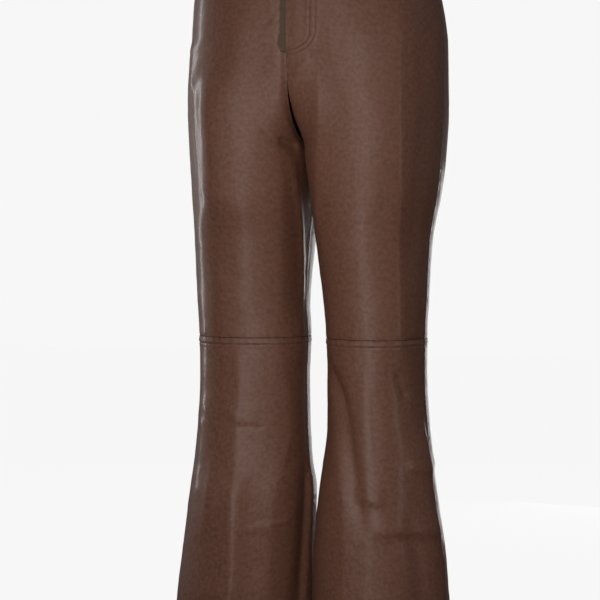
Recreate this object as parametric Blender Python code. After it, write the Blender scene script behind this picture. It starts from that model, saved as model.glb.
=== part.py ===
"""Faux leather flared trousers, filled out as if worn: a hollow garment of cut and sewn panels.

Metres, +Z up. The front faces -Y and the wearer's left is +X. The origin is the middle of the
waist opening, halfway up the waistband. Lengths in the tables are millimetres, and a "drop" is
how far a level lies below the waistband's top edge.

Every panel is a wall between two grids of points. A place on the cloth is given as on the flat
piece: millimetres across from the outseam, along the level section there, and the drop. A
grid's rows run from the outseam to the centre seam or the inseam. Near the crotch they sag, so
that they meet the curved edge steeply.
"""

import math

import bmesh
import bpy
import numpy as np

MM = 0.001

# Cloth, seams and edges (millimetres).
CLOTH = 1.4
SEAM_GAP = 0.3
BAND_HEIGHT = 40.0
BAND_THICKNESS = 2.6
BAND_PROUD = 0.6
HEM_DROP = 1050.0
HEM_DEPTH = 25.0
HEM_THICKNESS = 2.8
KNEE_DROP = 544.0

# The crotch: where it lies, and where the two centre seams leave the straight.
CROTCH_DROP = 292.0
CROTCH_Y = -4.0
FRONT_CURVE_DROP = 185.0
BACK_CURVE_DROP = 150.0
CENTRE_CURVE_POWER = 2.2
FRONT_DIP = 1.0
BACK_DIP = 4.0
OUTSEAM_Y = -6.0

# The fly: a slot beside the left front's edge, closed by a zip behind both fronts.
FLY_TOP_DROP = BAND_HEIGHT + SEAM_GAP
FLY_END_DROP = 165.0
FLY_SLOT = 5.0
ZIP_HALF_WIDTH = 14.0
ZIP_TAPE = 0.8
ZIP_CHAIN = 1.6
ZIP_CHAIN_X = 5.0
ZIP_CHAIN_HALF_WIDTH = 3.0
ZIP_CHAIN_SLOPE = 0.3
ZIP_END_GAP = 0.5
SLIDER_TOP_DROP = 47.0
SLIDER_LENGTH = 10.0
SLIDER_HALF_WIDTH = 5.0
SLIDER_PLATE = 1.2

# The waistband's lap and its button.
LAP_EDGE_X = 0.5
LAP_LENGTH = 36.0
LAP_BLEND = 14.0
BUTTON_X = 14.0
BUTTON_RADIUS = 8.5
BUTTON_HEIGHT = 3.0
BUTTON_RIM = 0.7

# Half sections, one row for each level: the outermost and innermost x of the left and the right
# half, and how far each half reaches to the front and to the back.
SECTION_COLUMNS = (
    "drop",
    "outer_left", "outer_right",
    "inner_left", "inner_right",
    "front_left", "front_right",
    "back_left", "back_right",
)
SECTIONS = (
    (0, 142, 139, 0, 0, 106, 106, 106, 106),
    (40, 154, 151, 0, 0, 112, 112, 113, 113),
    (94, 167, 165, 0, 0, 118, 118, 124, 124),
    (161, 176, 168, 0, 0, 121, 121, 130, 130),
    (228, 176, 172, 0, 0, 121, 121, 131, 131),
    (292, 173, 169, 0, 0, 117, 117, 127, 127),
    (350, 168, 167, 4, 3, 111, 110, 112, 110),
    (417, 157, 166, 10, 10, 99, 95, 92, 88),
    (496, 153, 164, 18, 14, 88, 83, 78, 74),
    (544, 151, 162, 22, 10, 87, 79, 73, 65),
    (598, 151, 161, 23, 12, 86, 78, 72, 64),
    (659, 155, 164, 23, 11, 88, 80, 74, 66),
    (710, 160, 169, 17, 8, 94, 84, 80, 70),
    (752, 165, 175, 11, 3, 100, 91, 86, 79),
    (833, 177, 185, 4, 5, 106, 99, 92, 85),
    (898, 182, 193, 3, 4, 111, 105, 97, 91),
    (1050, 194, 205, 4, 6, 113, 109, 99, 95),
)

# How square the outer and the inner part of a section are (2 is an ellipse), and where between
# the inner end and the outseam its frontmost and rearmost points lie.
ROUNDNESS_COLUMNS = ("drop", "outer_power", "inner_power", "front_x_share")
ROUNDNESS = (
    (0, 2.1, 2.0, 0.12),
    (94, 2.1, 2.0, 0.18),
    (185, 2.1, 2.2, 0.34),
    (292, 2.1, 2.8, 0.50),
    (417, 2.0, 2.4, 0.52),
    (598, 2.0, 2.1, 0.55),
    (1050, 2.0, 2.0, 0.52),
)
INSEAM_BLEND = 120.0

# The largest folds. Each runs along a few points (millimetres across the panel from the outseam,
# drop), has a half width, and rises outwards where its height is positive.
FOLD_COLUMNS = ("panel", "width", "height", "path")
FOLDS = (
    ("front_right", 12, -4.5,
     ((75, 150), (97, 203), (108, 277), (101, 363), (63, 495), (55, 560), (70, 650))),
    ("front_right", 14, 2.5, ((118, 190), (131, 277), (122, 363), (86, 495), (80, 600))),
    ("front_right", 12, 3.5, ((232, 290), (248, 325), (250, 363), (241, 430), (228, 520))),
    ("front_right", 26, 2.5, ((160, 120), (177, 255), (179, 301), (163, 389), (133, 560))),
    ("front_right", 12, 2.5, ((121, 520), (124, 659), (145, 783), (165, 885), (170, 1070))),
    ("front_right", 11, -3.0, ((172, 530), (182, 607), (200, 690))),
    ("front_right", 11, -2.5, ((45, 630), (60, 665), (95, 700))),
    ("front_right", 13, -3.0, ((225, 700), (250, 800), (262, 930))),
    ("front_left", 12, -4.0, ((180, 565), (138, 601), (127, 640), (122, 720))),
    ("front_left", 12, 3.0, ((148, 600), (140, 671), (150, 785), (168, 873), (172, 1070))),
    ("front_left", 12, -2.5, ((70, 575), (58, 600), (40, 635))),
    ("front_left", 28, 2.5, ((138, 120), (146, 250), (130, 400), (108, 560))),
    ("front_left", 13, 2.5, ((198, 130), (200, 190), (204, 310))),
    ("front_left", 20, -2.0, ((40, 70), (50, 200), (52, 340), (45, 480))),
    ("front_left", 14, -2.5, ((70, 730), (62, 830), (75, 960))),
    ("back_left", 14, -4.5, ((70, 318), (140, 350), (205, 362))),
    ("back_left", 13, -3.5, ((45, 372), (110, 405), (165, 412))),
    ("back_left", 12, -4.0, ((60, 520), (115, 541), (170, 533))),
    ("back_left", 13, -3.0, ((80, 575), (140, 598), (185, 585))),
    ("back_left", 14, 3.0, ((118, 640), (128, 760), (140, 900), (146, 1070))),
    ("back_left", 13, -3.0, ((52, 640), (60, 760), (58, 900))),
    ("back_right", 14, -4.5, ((60, 330), (120, 352), (190, 356))),
    ("back_right", 13, -3.0, ((55, 392), (100, 418), (150, 428))),
    ("back_right", 12, -4.0, ((52, 535), (110, 548), (160, 556))),
    ("back_right", 12, -3.0, ((90, 600), (130, 612), (190, 604))),
    ("back_right", 14, 3.0, ((125, 650), (132, 780), (150, 920), (155, 1070))),
    ("back_right", 13, -3.0, ((195, 700), (222, 820), (230, 940))),
)
FOLD_PATH_STEPS = 40
FOLD_SEAM_FADE = 16.0
FOLD_END_FADE = 0.25
FOLD_TOP_DROP = 44.0

# How finely the walls are cut, and the small steps that slopes and edge curves are measured over.
UPPER_COLUMNS = 16
LOWER_COLUMNS = 14
ROWS_TO_CROTCH = 14
ROWS_TO_KNEE = 12
ROWS_TO_HEM = 16
CROTCH_ROW_DROP = 240.0
FORK_CLOSENESS = 1.25
FORK_SAG = 60.0
ARC_STEPS = 48
BAND_COLUMNS = 84
ZIP_ROWS = 9
BUTTON_STEPS = 20
EDGE_SAMPLES = 400
DIFFERENCE = 0.5
BAND_DIFFERENCE = 2.0
SHARP_ANGLE = math.radians(40)

# Colour, roughness and metallic value of each material.
FINISHES = {
    "leather": ((0.107, 0.051, 0.036), 0.42, 0.0),
    "tape": ((0.030, 0.026, 0.022), 0.8, 0.0),
    "brass": ((0.480, 0.330, 0.160), 0.35, 1.0),
}


def table(columns, rows):
    """The table's numbers by column name."""
    return dict(zip(columns, np.array(rows, float).T))


SECTION = table(SECTION_COLUMNS, SECTIONS)
ROUND = table(ROUNDNESS_COLUMNS, ROUNDNESS)


def height(drop):
    """The z of a drop, in metres."""
    return (BAND_HEIGHT / 2 - drop) * MM


def ease(share):
    """Rises from 0 to 1 with level ends."""
    share = np.clip(share, 0, 1)
    return share * share * (3 - 2 * share)


def along(values, column, drop):
    """A table column at any drop: cubic pieces through every row, which never overshoot."""
    knots, heights = values["drop"], values[column]
    step = np.diff(knots)
    rise = np.diff(heights) / step
    slope = np.zeros_like(heights)
    product = rise[:-1] * rise[1:]
    total = rise[:-1] + rise[1:]
    level = product <= 0
    slope[1:-1] = np.where(level, 0, 2 * product / np.where(level, 1, total))
    slope[0], slope[-1] = rise[0], rise[-1]
    row = np.clip(np.searchsorted(knots, drop) - 1, 0, len(step) - 1)
    share = np.clip((drop - knots[row]) / step[row], 0, 1)
    rest = 1 - share
    ends = heights[row] * (1 + 2 * share) * rest**2 + heights[row + 1] * (3 - 2 * share) * share**2
    turns = slope[row] * rest**2 * share - slope[row + 1] * share**2 * rest
    return ends + turns * step[row]


def corner(angle, power):
    """A unit quarter of a rounded corner, by its polar angle: x and y of the point."""
    across, up = np.cos(angle), np.sin(angle)
    radius = (np.abs(across) ** power + np.abs(up) ** power) ** (-1 / power)
    return radius * across, radius * up


def centre_curve(drop, start_drop, start_y):
    """The y of a centre seam: straight down to start_drop, then a J that ends at the crotch."""
    share = np.clip((drop - start_drop) / (CROTCH_DROP - start_drop), 0, 1)
    reach = (1 - share**CENTRE_CURVE_POWER) ** (1 / CENTRE_CURVE_POWER)
    return CROTCH_Y + (start_y - CROTCH_Y) * reach


def half_section(side, face, drop):
    """Points of one face's section at each drop, from the outseam to the centre seam or inseam.

    The first quarter turns from the outseam to the frontmost (or rearmost) point. The second
    goes on round the inside of the leg: a whole quarter below the crotch. Above it the leg's
    round would reach past the middle, and the centre seam cuts it where its J curve lies.
    """
    way = -1 if face == "front" else 1
    outer = along(SECTION, "outer_" + side, drop)
    inner = np.maximum(along(SECTION, "inner_" + side, drop), SEAM_GAP / 2)
    reach = way * along(SECTION, face + "_" + side, drop)
    middle = (along(SECTION, "back_" + side, drop) - along(SECTION, "front_" + side, drop)) / 2
    inseam_y = CROTCH_Y + (middle - CROTCH_Y) * ease((drop - CROTCH_DROP) / INSEAM_BLEND)
    start_drop = FRONT_CURVE_DROP if face == "front" else BACK_CURVE_DROP
    dip = FRONT_DIP if face == "front" else BACK_DIP
    seam_y = centre_curve(drop, start_drop, reach - way * dip)
    if face == "front" and side == "right":
        inner = np.maximum(inner, FLY_SLOT * ease((FLY_END_DROP + FLY_SLOT - drop) / FLY_SLOT))
    front_x = inner + (outer - inner) * along(ROUND, "front_x_share", drop)
    outer_power = along(ROUND, "outer_power", drop)
    inner_power = along(ROUND, "inner_power", drop)
    cut = np.where(drop < CROTCH_DROP, (seam_y - inseam_y) / (reach - inseam_y), 0)
    cut_across = (1 - cut**inner_power) ** (1 / inner_power)
    end_angle = np.arctan2(cut, cut_across)
    turn = np.linspace(0, 1, ARC_STEPS)[:, None]
    quarter = math.pi / 2
    across, up = corner(quarter * turn, outer_power)
    outer_x = front_x + (outer - front_x) * across
    outer_y = OUTSEAM_Y + (reach - OUTSEAM_Y) * up
    across, up = corner(quarter + (end_angle - quarter) * turn, inner_power)
    inner_x = front_x - (front_x - inner) * across / cut_across
    inner_y = inseam_y + (reach - inseam_y) * up
    return np.concatenate([outer_x, inner_x[1:]]).T, np.concatenate([outer_y, inner_y[1:]]).T


def section_runs(side, face, drop):
    """The sections' points and the length along each, for every drop of a flat array."""
    x, y = half_section(side, face, drop)
    steps = np.hypot(np.diff(x), np.diff(y))
    return x, y, np.concatenate([np.zeros((len(drop), 1)), np.cumsum(steps, axis=1)], axis=1)


def section_length(side, face, drop):
    """How far it is across the cloth from the outseam to the centre seam or inseam."""
    drop = np.asarray(drop, float)
    return section_runs(side, face, drop.reshape(-1))[2][:, -1].reshape(drop.shape)


def bare_skin(side, face, drop, across):
    """The cloth's outer surface with no folds, at places given by two arrays of one shape."""
    shape = drop.shape
    drop, across = drop.reshape(-1), across.reshape(-1)
    x, y, length = section_runs(side, face, drop)
    wanted = np.clip(across, 0, length[:, -1])
    step = np.clip((length < wanted[:, None]).sum(axis=1) - 1, 0, length.shape[1] - 2)
    row = np.arange(len(drop))
    share = (wanted - length[row, step]) / (length[row, step + 1] - length[row, step])
    point_x = x[row, step] + share * (x[row, step + 1] - x[row, step])
    point_y = y[row, step] + share * (y[row, step + 1] - y[row, step])
    sign = 1 if side == "left" else -1
    points = np.stack([sign * point_x, point_y, BAND_HEIGHT / 2 - drop], axis=-1)
    return points.reshape(shape + (3,))


def outward(surface, side, face, drop, across):
    """Unit normals of a surface, from its slopes across and down the cloth."""
    length = section_length(side, face, drop)
    across = np.minimum(across, length)
    low, high = np.maximum(across - DIFFERENCE, 0), np.minimum(across + DIFFERENCE, length)
    over = surface(side, face, drop, high) - surface(side, face, drop, low)
    down = surface(side, face, drop + DIFFERENCE, across) - surface(
        side, face, drop - DIFFERENCE, across
    )
    normal = np.cross(over, down) * (1 if (side == "left") == (face == "front") else -1)
    return normal / np.linalg.norm(normal, axis=-1, keepdims=True)


def fold_path(points):
    """A smooth run of points through a fold's few points."""
    points = np.array(points, float)
    length = np.concatenate([[0], np.cumsum(np.linalg.norm(np.diff(points, axis=0), axis=1))])
    values = {"drop": length, "across": points[:, 0], "down": points[:, 1]}
    place = np.linspace(0, length[-1], FOLD_PATH_STEPS)
    return along(values, "across", place), along(values, "down", place)


def relief(side, face, drop, across):
    """How far the folds lift the cloth at each place.

    A fold is a soft ridge or trough: its height, less with the distance from its path as a bell
    curve falls, and less towards the path's ends. All of them die away at the long seams and
    below the waist seam."""
    lift = np.zeros_like(across)
    for row in FOLDS:
        fold = dict(zip(FOLD_COLUMNS, row))
        if fold["panel"] != face + "_" + side:
            continue
        path_across, path_drop = fold_path(fold["path"])
        gap = np.hypot(across[..., None] - path_across, drop[..., None] - path_drop)
        nearest = gap.argmin(axis=-1) / (FOLD_PATH_STEPS - 1)
        ends = ease(nearest / FOLD_END_FADE) * ease((1 - nearest) / FOLD_END_FADE)
        lift += fold["height"] * ends * np.exp(-((gap.min(axis=-1) / fold["width"]) ** 2))
    edge = np.minimum(across, section_length(side, face, drop) - across)
    return lift * ease(edge / FOLD_SEAM_FADE) * ease((drop - FOLD_TOP_DROP) / FOLD_SEAM_FADE)


def skin(side, face, drop, across):
    """The cloth's outer surface with its folds."""
    lift = relief(side, face, drop, across)[..., None]
    return bare_skin(side, face, drop, across) + lift * outward(
        bare_skin, side, face, drop, across
    )


def panel_grid(side, face, outseam_drop, inner_drop, sag, columns):
    """Points and normals of a panel whose edges stand half a seam gap off its neighbours'.

    Row by row it is level with outseam_drop at the outseam and with inner_drop at the other
    end. In between it runs straight on the flat piece, but for its sag."""
    share = np.linspace(0, 1, columns + 1)[None, :]
    drop = outseam_drop[:, None] + (inner_drop - outseam_drop)[:, None] * share
    drop = drop + 4 * sag[:, None] * share**2 * (1 - share)
    trim = SEAM_GAP / 2
    last = section_length(side, face, inner_drop)[:, None] - trim
    across = trim + (last - trim) * share
    return skin(side, face, drop, across), outward(skin, side, face, drop, across)


def wall_object(name, outer, inner, material):
    """A wall between two grids of points (millimetres): both faces and the edges between them."""
    rows, columns = outer.shape[:2]
    count = rows * columns
    points = np.concatenate([outer.reshape(-1, 3), inner.reshape(-1, 3)]) * MM
    index = np.arange(count).reshape(rows, columns)
    loops = []
    for grid in (index, index[::-1] + count):
        a, b, c, d = grid[:-1, :-1], grid[1:, :-1], grid[1:, 1:], grid[:-1, 1:]
        loops.append(np.stack([a, b, c, d], axis=-1).reshape(-1, 4))
    border = np.concatenate(
        [index[0, :-1], index[:-1, -1], index[-1, :0:-1], index[:0:-1, 0]]
    )
    following = np.roll(border, -1)
    loops.append(np.stack([border, following, following + count, border + count], axis=-1))
    mesh = bpy.data.meshes.new(name)
    mesh.from_pydata(points.tolist(), [], np.concatenate(loops).tolist())
    return finish(name, mesh, material)


def finish(name, mesh, material):
    """Turns the faces outwards, shades the mesh smooth and puts it in the scene."""
    tidy = bmesh.new()
    tidy.from_mesh(mesh)
    bmesh.ops.recalc_face_normals(tidy, faces=tidy.faces)
    tidy.to_mesh(mesh)
    tidy.free()
    mesh.shade_smooth()
    mesh.set_sharp_from_angle(angle=SHARP_ANGLE)
    mesh.materials.append(material)
    made = bpy.data.objects.new(name, mesh)
    bpy.context.scene.collection.objects.link(made)
    return made


def principled(piece, finish_name):
    """A plain material for one piece."""
    colour, roughness, metallic = FINISHES[finish_name]
    material = bpy.data.materials.new(piece + "_" + finish_name)
    material.use_nodes = True
    shader = material.node_tree.nodes["Principled BSDF"]
    shader.inputs["Base Color"].default_value = (*colour, 1)
    shader.inputs["Roughness"].default_value = roughness
    shader.inputs["Metallic"].default_value = metallic
    return material


def upper_levels(side, face):
    """Drops of the upper panels' row ends, at the outseam and at the inner end, and their sags.

    Down to the crotch the inner ends are evenly spaced along the flat piece's curved edge."""
    fine = np.linspace(FLY_TOP_DROP, CROTCH_DROP, EDGE_SAMPLES)
    steps = np.hypot(np.diff(section_length(side, face, fine)), np.diff(fine))
    run = np.concatenate([[0], np.cumsum(steps)])
    inner = np.interp(np.linspace(0, run[-1], ROWS_TO_CROTCH + 1), run, fine)
    if face == "front":
        inner = np.sort(np.append(inner, [FLY_END_DROP, FLY_END_DROP + FLY_SLOT]))
    reached = np.interp(inner, fine, run) / run[-1]
    outseam = FLY_TOP_DROP + (CROTCH_ROW_DROP - FLY_TOP_DROP) * reached
    share = np.linspace(0, 1, ROWS_TO_KNEE + 1)[1:]
    end = KNEE_DROP - SEAM_GAP / 2
    outseam = np.append(outseam, CROTCH_ROW_DROP + (end - CROTCH_ROW_DROP) * share)
    inner = np.append(inner, CROTCH_DROP + (end - CROTCH_DROP) * share**FORK_CLOSENESS)
    sag = FORK_SAG * np.append(reached**3, (1 - share) ** 2)
    return outseam, inner, sag


def lower_levels():
    """Drops of the lower panels' rows, with two close together where the hem is turned up."""
    leg = np.linspace(KNEE_DROP + SEAM_GAP / 2, HEM_DROP - HEM_DEPTH, ROWS_TO_HEM)
    hem = np.array([HEM_DROP - HEM_DEPTH + 1, HEM_DROP - HEM_DEPTH / 2, HEM_DROP])
    return np.concatenate([leg, hem])


def panel(name, side, face, outseam_drop, inner_drop, sag, columns):
    """One cut piece: a wall one cloth thick, twice that where the hem is turned up."""
    outer, normal = panel_grid(side, face, outseam_drop, inner_drop, sag, columns)
    doubled = outseam_drop > HEM_DROP - HEM_DEPTH
    thickness = np.where(doubled, HEM_THICKNESS, CLOTH)[:, None, None]
    return wall_object(name, outer, outer - thickness * normal, principled(name, "leather"))


def ring_section(drop):
    """The waist's whole section at a drop, closed: x and y from the lap's edge round to it again."""
    level = np.array([drop])
    runs = []
    for side, face in (("left", "front"), ("left", "back"), ("right", "back"), ("right", "front")):
        x, y = half_section(side, face, level)
        sign = 1 if side == "left" else -1
        run = np.stack([sign * x[0], y[0]], axis=-1)
        inward = (side, face) in (("left", "front"), ("right", "back"))
        runs.append(run[::-1] if inward else run)
    loop = np.concatenate([runs[0], runs[1][1:], runs[2], runs[3][1:]])
    front = loop[:, 1] < 0
    keep = ~(front & (loop[:, 0] < LAP_EDGE_X) & (loop[:, 0] > -FLY_SLOT - 1))
    edge = np.array([[LAP_EDGE_X, loop[keep][0, 1]]])
    return np.concatenate([edge, loop[keep], edge])


def waistband():
    """A doubled strip round the waist whose left end laps over its right end."""
    outer_rows, inner_rows = [], []
    for drop in (0.0, BAND_HEIGHT / 2, BAND_HEIGHT - SEAM_GAP / 2):
        loop = ring_section(drop)
        length = np.concatenate([[0], np.cumsum(np.linalg.norm(np.diff(loop, axis=0), axis=1))])
        whole = length[-1]

        def ring(place):
            """The ring's point at a length along it, which may run past the lap's edge."""
            around = np.where(place == whole, whole, np.mod(place, whole))
            return np.stack([np.interp(around, length, loop[:, axis]) for axis in (0, 1)], axis=-1)

        place = np.linspace(0, whole + LAP_LENGTH, BAND_COLUMNS + 1)
        over = ring(place + BAND_DIFFERENCE) - ring(place - BAND_DIFFERENCE)
        over /= np.linalg.norm(over, axis=1, keepdims=True)
        normal = np.stack([over[:, 1], -over[:, 0]], axis=-1)
        under = ease((place - (whole - LAP_BLEND - 1)) / LAP_BLEND)
        lift = BAND_PROUD - under * (BAND_THICKNESS + SEAM_GAP)
        outer = ring(place) + lift[:, None] * normal
        level = np.full((BAND_COLUMNS + 1, 1), BAND_HEIGHT / 2 - drop)
        outer_rows.append(np.concatenate([outer, level], axis=-1))
        inner_rows.append(np.concatenate([outer - BAND_THICKNESS * normal, level], axis=-1))
    leather = principled("waistband", "leather")
    return wall_object("waistband", np.array(outer_rows), np.array(inner_rows), leather)


def centre_front_y(x, drop):
    """The y of the front's outer surface at an x near the centre, on either side of it."""
    side = "left" if x > 0 else "right"
    section_x, section_y = half_section(side, "front", np.array([drop]))
    return float(np.interp(abs(x), section_x[0, ::-1], section_y[0, ::-1]))


def zip_seat(drop):
    """The y of the tape's face behind both fronts: level across, a seam gap off the nearer one."""
    nearest = max(centre_front_y(x, drop) for x in (-ZIP_HALF_WIDTH, -FLY_SLOT, 0.0, ZIP_HALF_WIDTH))
    return nearest + CLOTH + SEAM_GAP


def zip_fastener():
    """The closed zip behind the fly: a flat tape with its chain as a ridge on the inside."""
    chain_right = ZIP_CHAIN_X - ZIP_CHAIN_HALF_WIDTH
    chain_left = ZIP_CHAIN_X + ZIP_CHAIN_HALF_WIDTH
    across = np.array([
        -ZIP_HALF_WIDTH, -ZIP_HALF_WIDTH / 2, 0.0, chain_right - ZIP_CHAIN_SLOPE, chain_right,
        chain_left, chain_left + ZIP_CHAIN_SLOPE, ZIP_HALF_WIDTH,
    ])
    on_chain = (across >= chain_right) & (across <= chain_left)
    inwards = np.zeros((len(across), 3))
    inwards[:, 1] = np.where(on_chain, ZIP_TAPE + ZIP_CHAIN, ZIP_TAPE)
    drops = np.linspace(FLY_TOP_DROP + ZIP_END_GAP, FLY_END_DROP - 1, ZIP_ROWS)
    outer = np.array([[(x, zip_seat(drop), BAND_HEIGHT / 2 - drop) for x in across] for drop in drops])
    return wall_object("zip", outer, outer + inwards, principled("zip", "tape"))


def zip_slider():
    """The slider's back plate, the part of it that shows from inside, at the top of the chain."""
    sides = (ZIP_CHAIN_X - SLIDER_HALF_WIDTH, ZIP_CHAIN_X + SLIDER_HALF_WIDTH)
    proud = ZIP_TAPE + ZIP_CHAIN + SEAM_GAP
    drops = (SLIDER_TOP_DROP, SLIDER_TOP_DROP + SLIDER_LENGTH)
    outer = np.array(
        [[(x, zip_seat(drop) + proud, BAND_HEIGHT / 2 - drop) for x in sides] for drop in drops]
    )
    return wall_object("zip_slider", outer, outer + (0, SLIDER_PLATE, 0), principled("slider", "brass"))


def button():
    """A plain turned button, standing off the waistband's lap by a seam gap."""
    drop = BAND_HEIGHT / 2
    right, left = BUTTON_X - BUTTON_RADIUS, BUTTON_X + BUTTON_RADIUS
    above, below = drop - BUTTON_RADIUS, drop + BUTTON_RADIUS
    over = centre_front_y(left, drop) - centre_front_y(right, drop)
    down = centre_front_y(BUTTON_X, above) - centre_front_y(BUTTON_X, below)
    yaw = math.atan2(over, left - right)
    pitch = math.atan2(down, below - above)
    rim = BUTTON_RIM
    profile = (
        (0.0, 0.0),
        (BUTTON_RADIUS - rim, 0.0),
        (BUTTON_RADIUS, rim),
        (BUTTON_RADIUS, BUTTON_HEIGHT - rim),
        (BUTTON_RADIUS - rim, BUTTON_HEIGHT),
        (BUTTON_RADIUS - 2 * rim, BUTTON_HEIGHT - rim / 2),
        (0.0, BUTTON_HEIGHT - rim / 2),
    )
    turned = bmesh.new()
    corners = [turned.verts.new((radius * MM, 0, up * MM)) for radius, up in profile]
    edges = [turned.edges.new(pair) for pair in zip(corners[:-1], corners[1:])]
    bmesh.ops.spin(
        turned, geom=corners + edges, axis=(0, 0, 1), cent=(0, 0, 0),
        angle=math.tau, steps=BUTTON_STEPS, use_merge=True,
    )
    bmesh.ops.remove_doubles(turned, verts=turned.verts, dist=0.01 * MM)
    mesh = bpy.data.meshes.new("button")
    turned.to_mesh(mesh)
    turned.free()
    made = finish("button", mesh, principled("button", "brass"))
    seat = centre_front_y(BUTTON_X, drop) - BAND_PROUD - SEAM_GAP
    made.location = (BUTTON_X * MM, seat * MM, height(drop))
    made.rotation_euler = (math.pi / 2 - pitch, 0, yaw)
    return made


def main():
    for old in list(bpy.data.objects):
        bpy.data.objects.remove(old, do_unlink=True)
    lower = lower_levels()
    for side in ("left", "right"):
        for face in ("front", "back"):
            outseam, inner, sag = upper_levels(side, face)
            panel(f"{face}_upper_{side}", side, face, outseam, inner, sag, UPPER_COLUMNS)
            panel(f"{face}_lower_{side}", side, face, lower, lower, 0 * lower, LOWER_COLUMNS)
    waistband()
    zip_fastener()
    zip_slider()
    button()


main()
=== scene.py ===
# %% [markdown]
# Faux leather flared trousers, filled out as if worn, with no wearer in them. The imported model
# gives the frame: its solids say where each cut piece lies. This lesson dresses them: thin cloth
# shells with the creases of worn faux leather, the sewing, the zip, the button, and a studio.

# %% The frame
import math

import bpy
import numpy as np
from mathutils import Matrix, Vector


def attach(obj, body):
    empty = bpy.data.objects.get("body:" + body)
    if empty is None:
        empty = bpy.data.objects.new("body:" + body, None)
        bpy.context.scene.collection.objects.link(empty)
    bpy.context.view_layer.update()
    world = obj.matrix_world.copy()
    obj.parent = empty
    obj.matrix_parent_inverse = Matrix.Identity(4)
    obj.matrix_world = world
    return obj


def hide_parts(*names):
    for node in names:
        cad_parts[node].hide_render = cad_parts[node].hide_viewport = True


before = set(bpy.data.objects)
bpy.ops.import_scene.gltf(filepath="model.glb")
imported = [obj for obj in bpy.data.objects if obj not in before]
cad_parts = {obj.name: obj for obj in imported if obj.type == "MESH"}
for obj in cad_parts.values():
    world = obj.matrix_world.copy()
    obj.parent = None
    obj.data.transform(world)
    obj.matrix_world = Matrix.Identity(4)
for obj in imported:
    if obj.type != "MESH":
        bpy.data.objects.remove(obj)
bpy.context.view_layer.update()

MM = 0.001
print("nodes:", ", ".join(sorted(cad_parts)))

# %% [markdown]
# The form. Trousers are tubes, so each level has a section: for each half, how far it reaches
# outwards, inwards, to the front and to the back. The tables are the pattern maker's measures,
# in millimetres, and a "drop" is how far a level lies below the waistband's top edge. Between
# the rows a cubic runs through every value and never overshoots, so no bump appears that no
# row asked for.

# %% Measures of the form
SEAM_GAP = 0.3
BAND_HEIGHT = 40.0
BAND_THICKNESS = 2.6
BAND_PROUD = 0.6
HEM_DROP = 1050.0
HEM_DEPTH = 25.0
KNEE_DROP = 544.0
CROTCH_DROP = 292.0
CROTCH_Y = -4.0
FRONT_CURVE_DROP = 185.0
BACK_CURVE_DROP = 150.0
CENTRE_CURVE_POWER = 2.2
FRONT_DIP = 1.0
BACK_DIP = 4.0
OUTSEAM_Y = -6.0
INSEAM_BLEND = 120.0
FLY_TOP_DROP = BAND_HEIGHT + SEAM_GAP
FLY_END_DROP = 165.0
FLY_SLOT = 5.0
# The wearer's left is +X.
WAY = {"left": 1, "right": -1}
SECTION_COLUMNS = (
    "drop",
    "outer_left", "outer_right",
    "inner_left", "inner_right",
    "front_left", "front_right",
    "back_left", "back_right",
)
SECTIONS = (
    (0, 142, 139, 0, 0, 106, 106, 106, 106),
    (40, 154, 151, 0, 0, 112, 112, 113, 113),
    (94, 167, 165, 0, 0, 118, 118, 124, 124),
    (161, 176, 168, 0, 0, 121, 121, 130, 130),
    (228, 176, 172, 0, 0, 121, 121, 131, 131),
    (292, 173, 169, 0, 0, 117, 117, 127, 127),
    (350, 168, 167, 4, 3, 111, 110, 112, 110),
    (417, 157, 166, 10, 10, 99, 95, 92, 88),
    (496, 153, 164, 18, 14, 88, 83, 78, 74),
    (544, 151, 162, 22, 10, 87, 79, 73, 65),
    (598, 151, 161, 23, 12, 86, 78, 72, 64),
    (659, 155, 164, 23, 11, 88, 80, 74, 66),
    (710, 160, 169, 17, 8, 94, 84, 80, 70),
    (752, 165, 175, 11, 3, 100, 91, 86, 79),
    (833, 177, 185, 4, 5, 106, 99, 92, 85),
    (898, 182, 193, 3, 4, 111, 105, 97, 91),
    (1050, 194, 205, 4, 6, 113, 109, 99, 95),
)
ROUNDNESS_COLUMNS = ("drop", "outer_power", "inner_power", "front_x_share")
ROUNDNESS = (
    (0, 2.1, 2.0, 0.12),
    (94, 2.1, 2.0, 0.18),
    (185, 2.1, 2.2, 0.34),
    (292, 2.1, 2.8, 0.50),
    (417, 2.0, 2.4, 0.52),
    (598, 2.0, 2.1, 0.55),
    (1050, 2.0, 2.0, 0.52),
)


def table(columns, rows):
    """The table's numbers by column name."""
    return dict(zip(columns, np.array(rows, float).T))


SECTION = table(SECTION_COLUMNS, SECTIONS)
ROUND = table(ROUNDNESS_COLUMNS, ROUNDNESS)


def ease(share):
    """Rises from 0 to 1 with level ends: 3 s squared less 2 s cubed."""
    share = np.clip(share, 0, 1)
    return share * share * (3 - 2 * share)


def along(values, column, drop):
    """A table column at any drop: a cubic between each two rows.

    The slope at a row is the harmonic mean of the slopes beside it, and level at a turn."""
    knots, heights = values["drop"], values[column]
    step = np.diff(knots)
    rise = np.diff(heights) / step
    slope = np.zeros_like(heights)
    product = rise[:-1] * rise[1:]
    total = rise[:-1] + rise[1:]
    level = product <= 0
    slope[1:-1] = np.where(level, 0, 2 * product / np.where(level, 1, total))
    slope[0], slope[-1] = rise[0], rise[-1]
    row = np.clip(np.searchsorted(knots, drop) - 1, 0, len(step) - 1)
    share = np.clip((drop - knots[row]) / step[row], 0, 1)
    rest = 1 - share
    ends = heights[row] * (1 + 2 * share) * rest**2 + heights[row + 1] * (3 - 2 * share) * share**2
    turns = slope[row] * rest**2 * share - slope[row + 1] * share**2 * rest
    return ends + turns * step[row]


print("waist to hem:", HEM_DROP, "mm; section levels:", len(SECTIONS))

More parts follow.
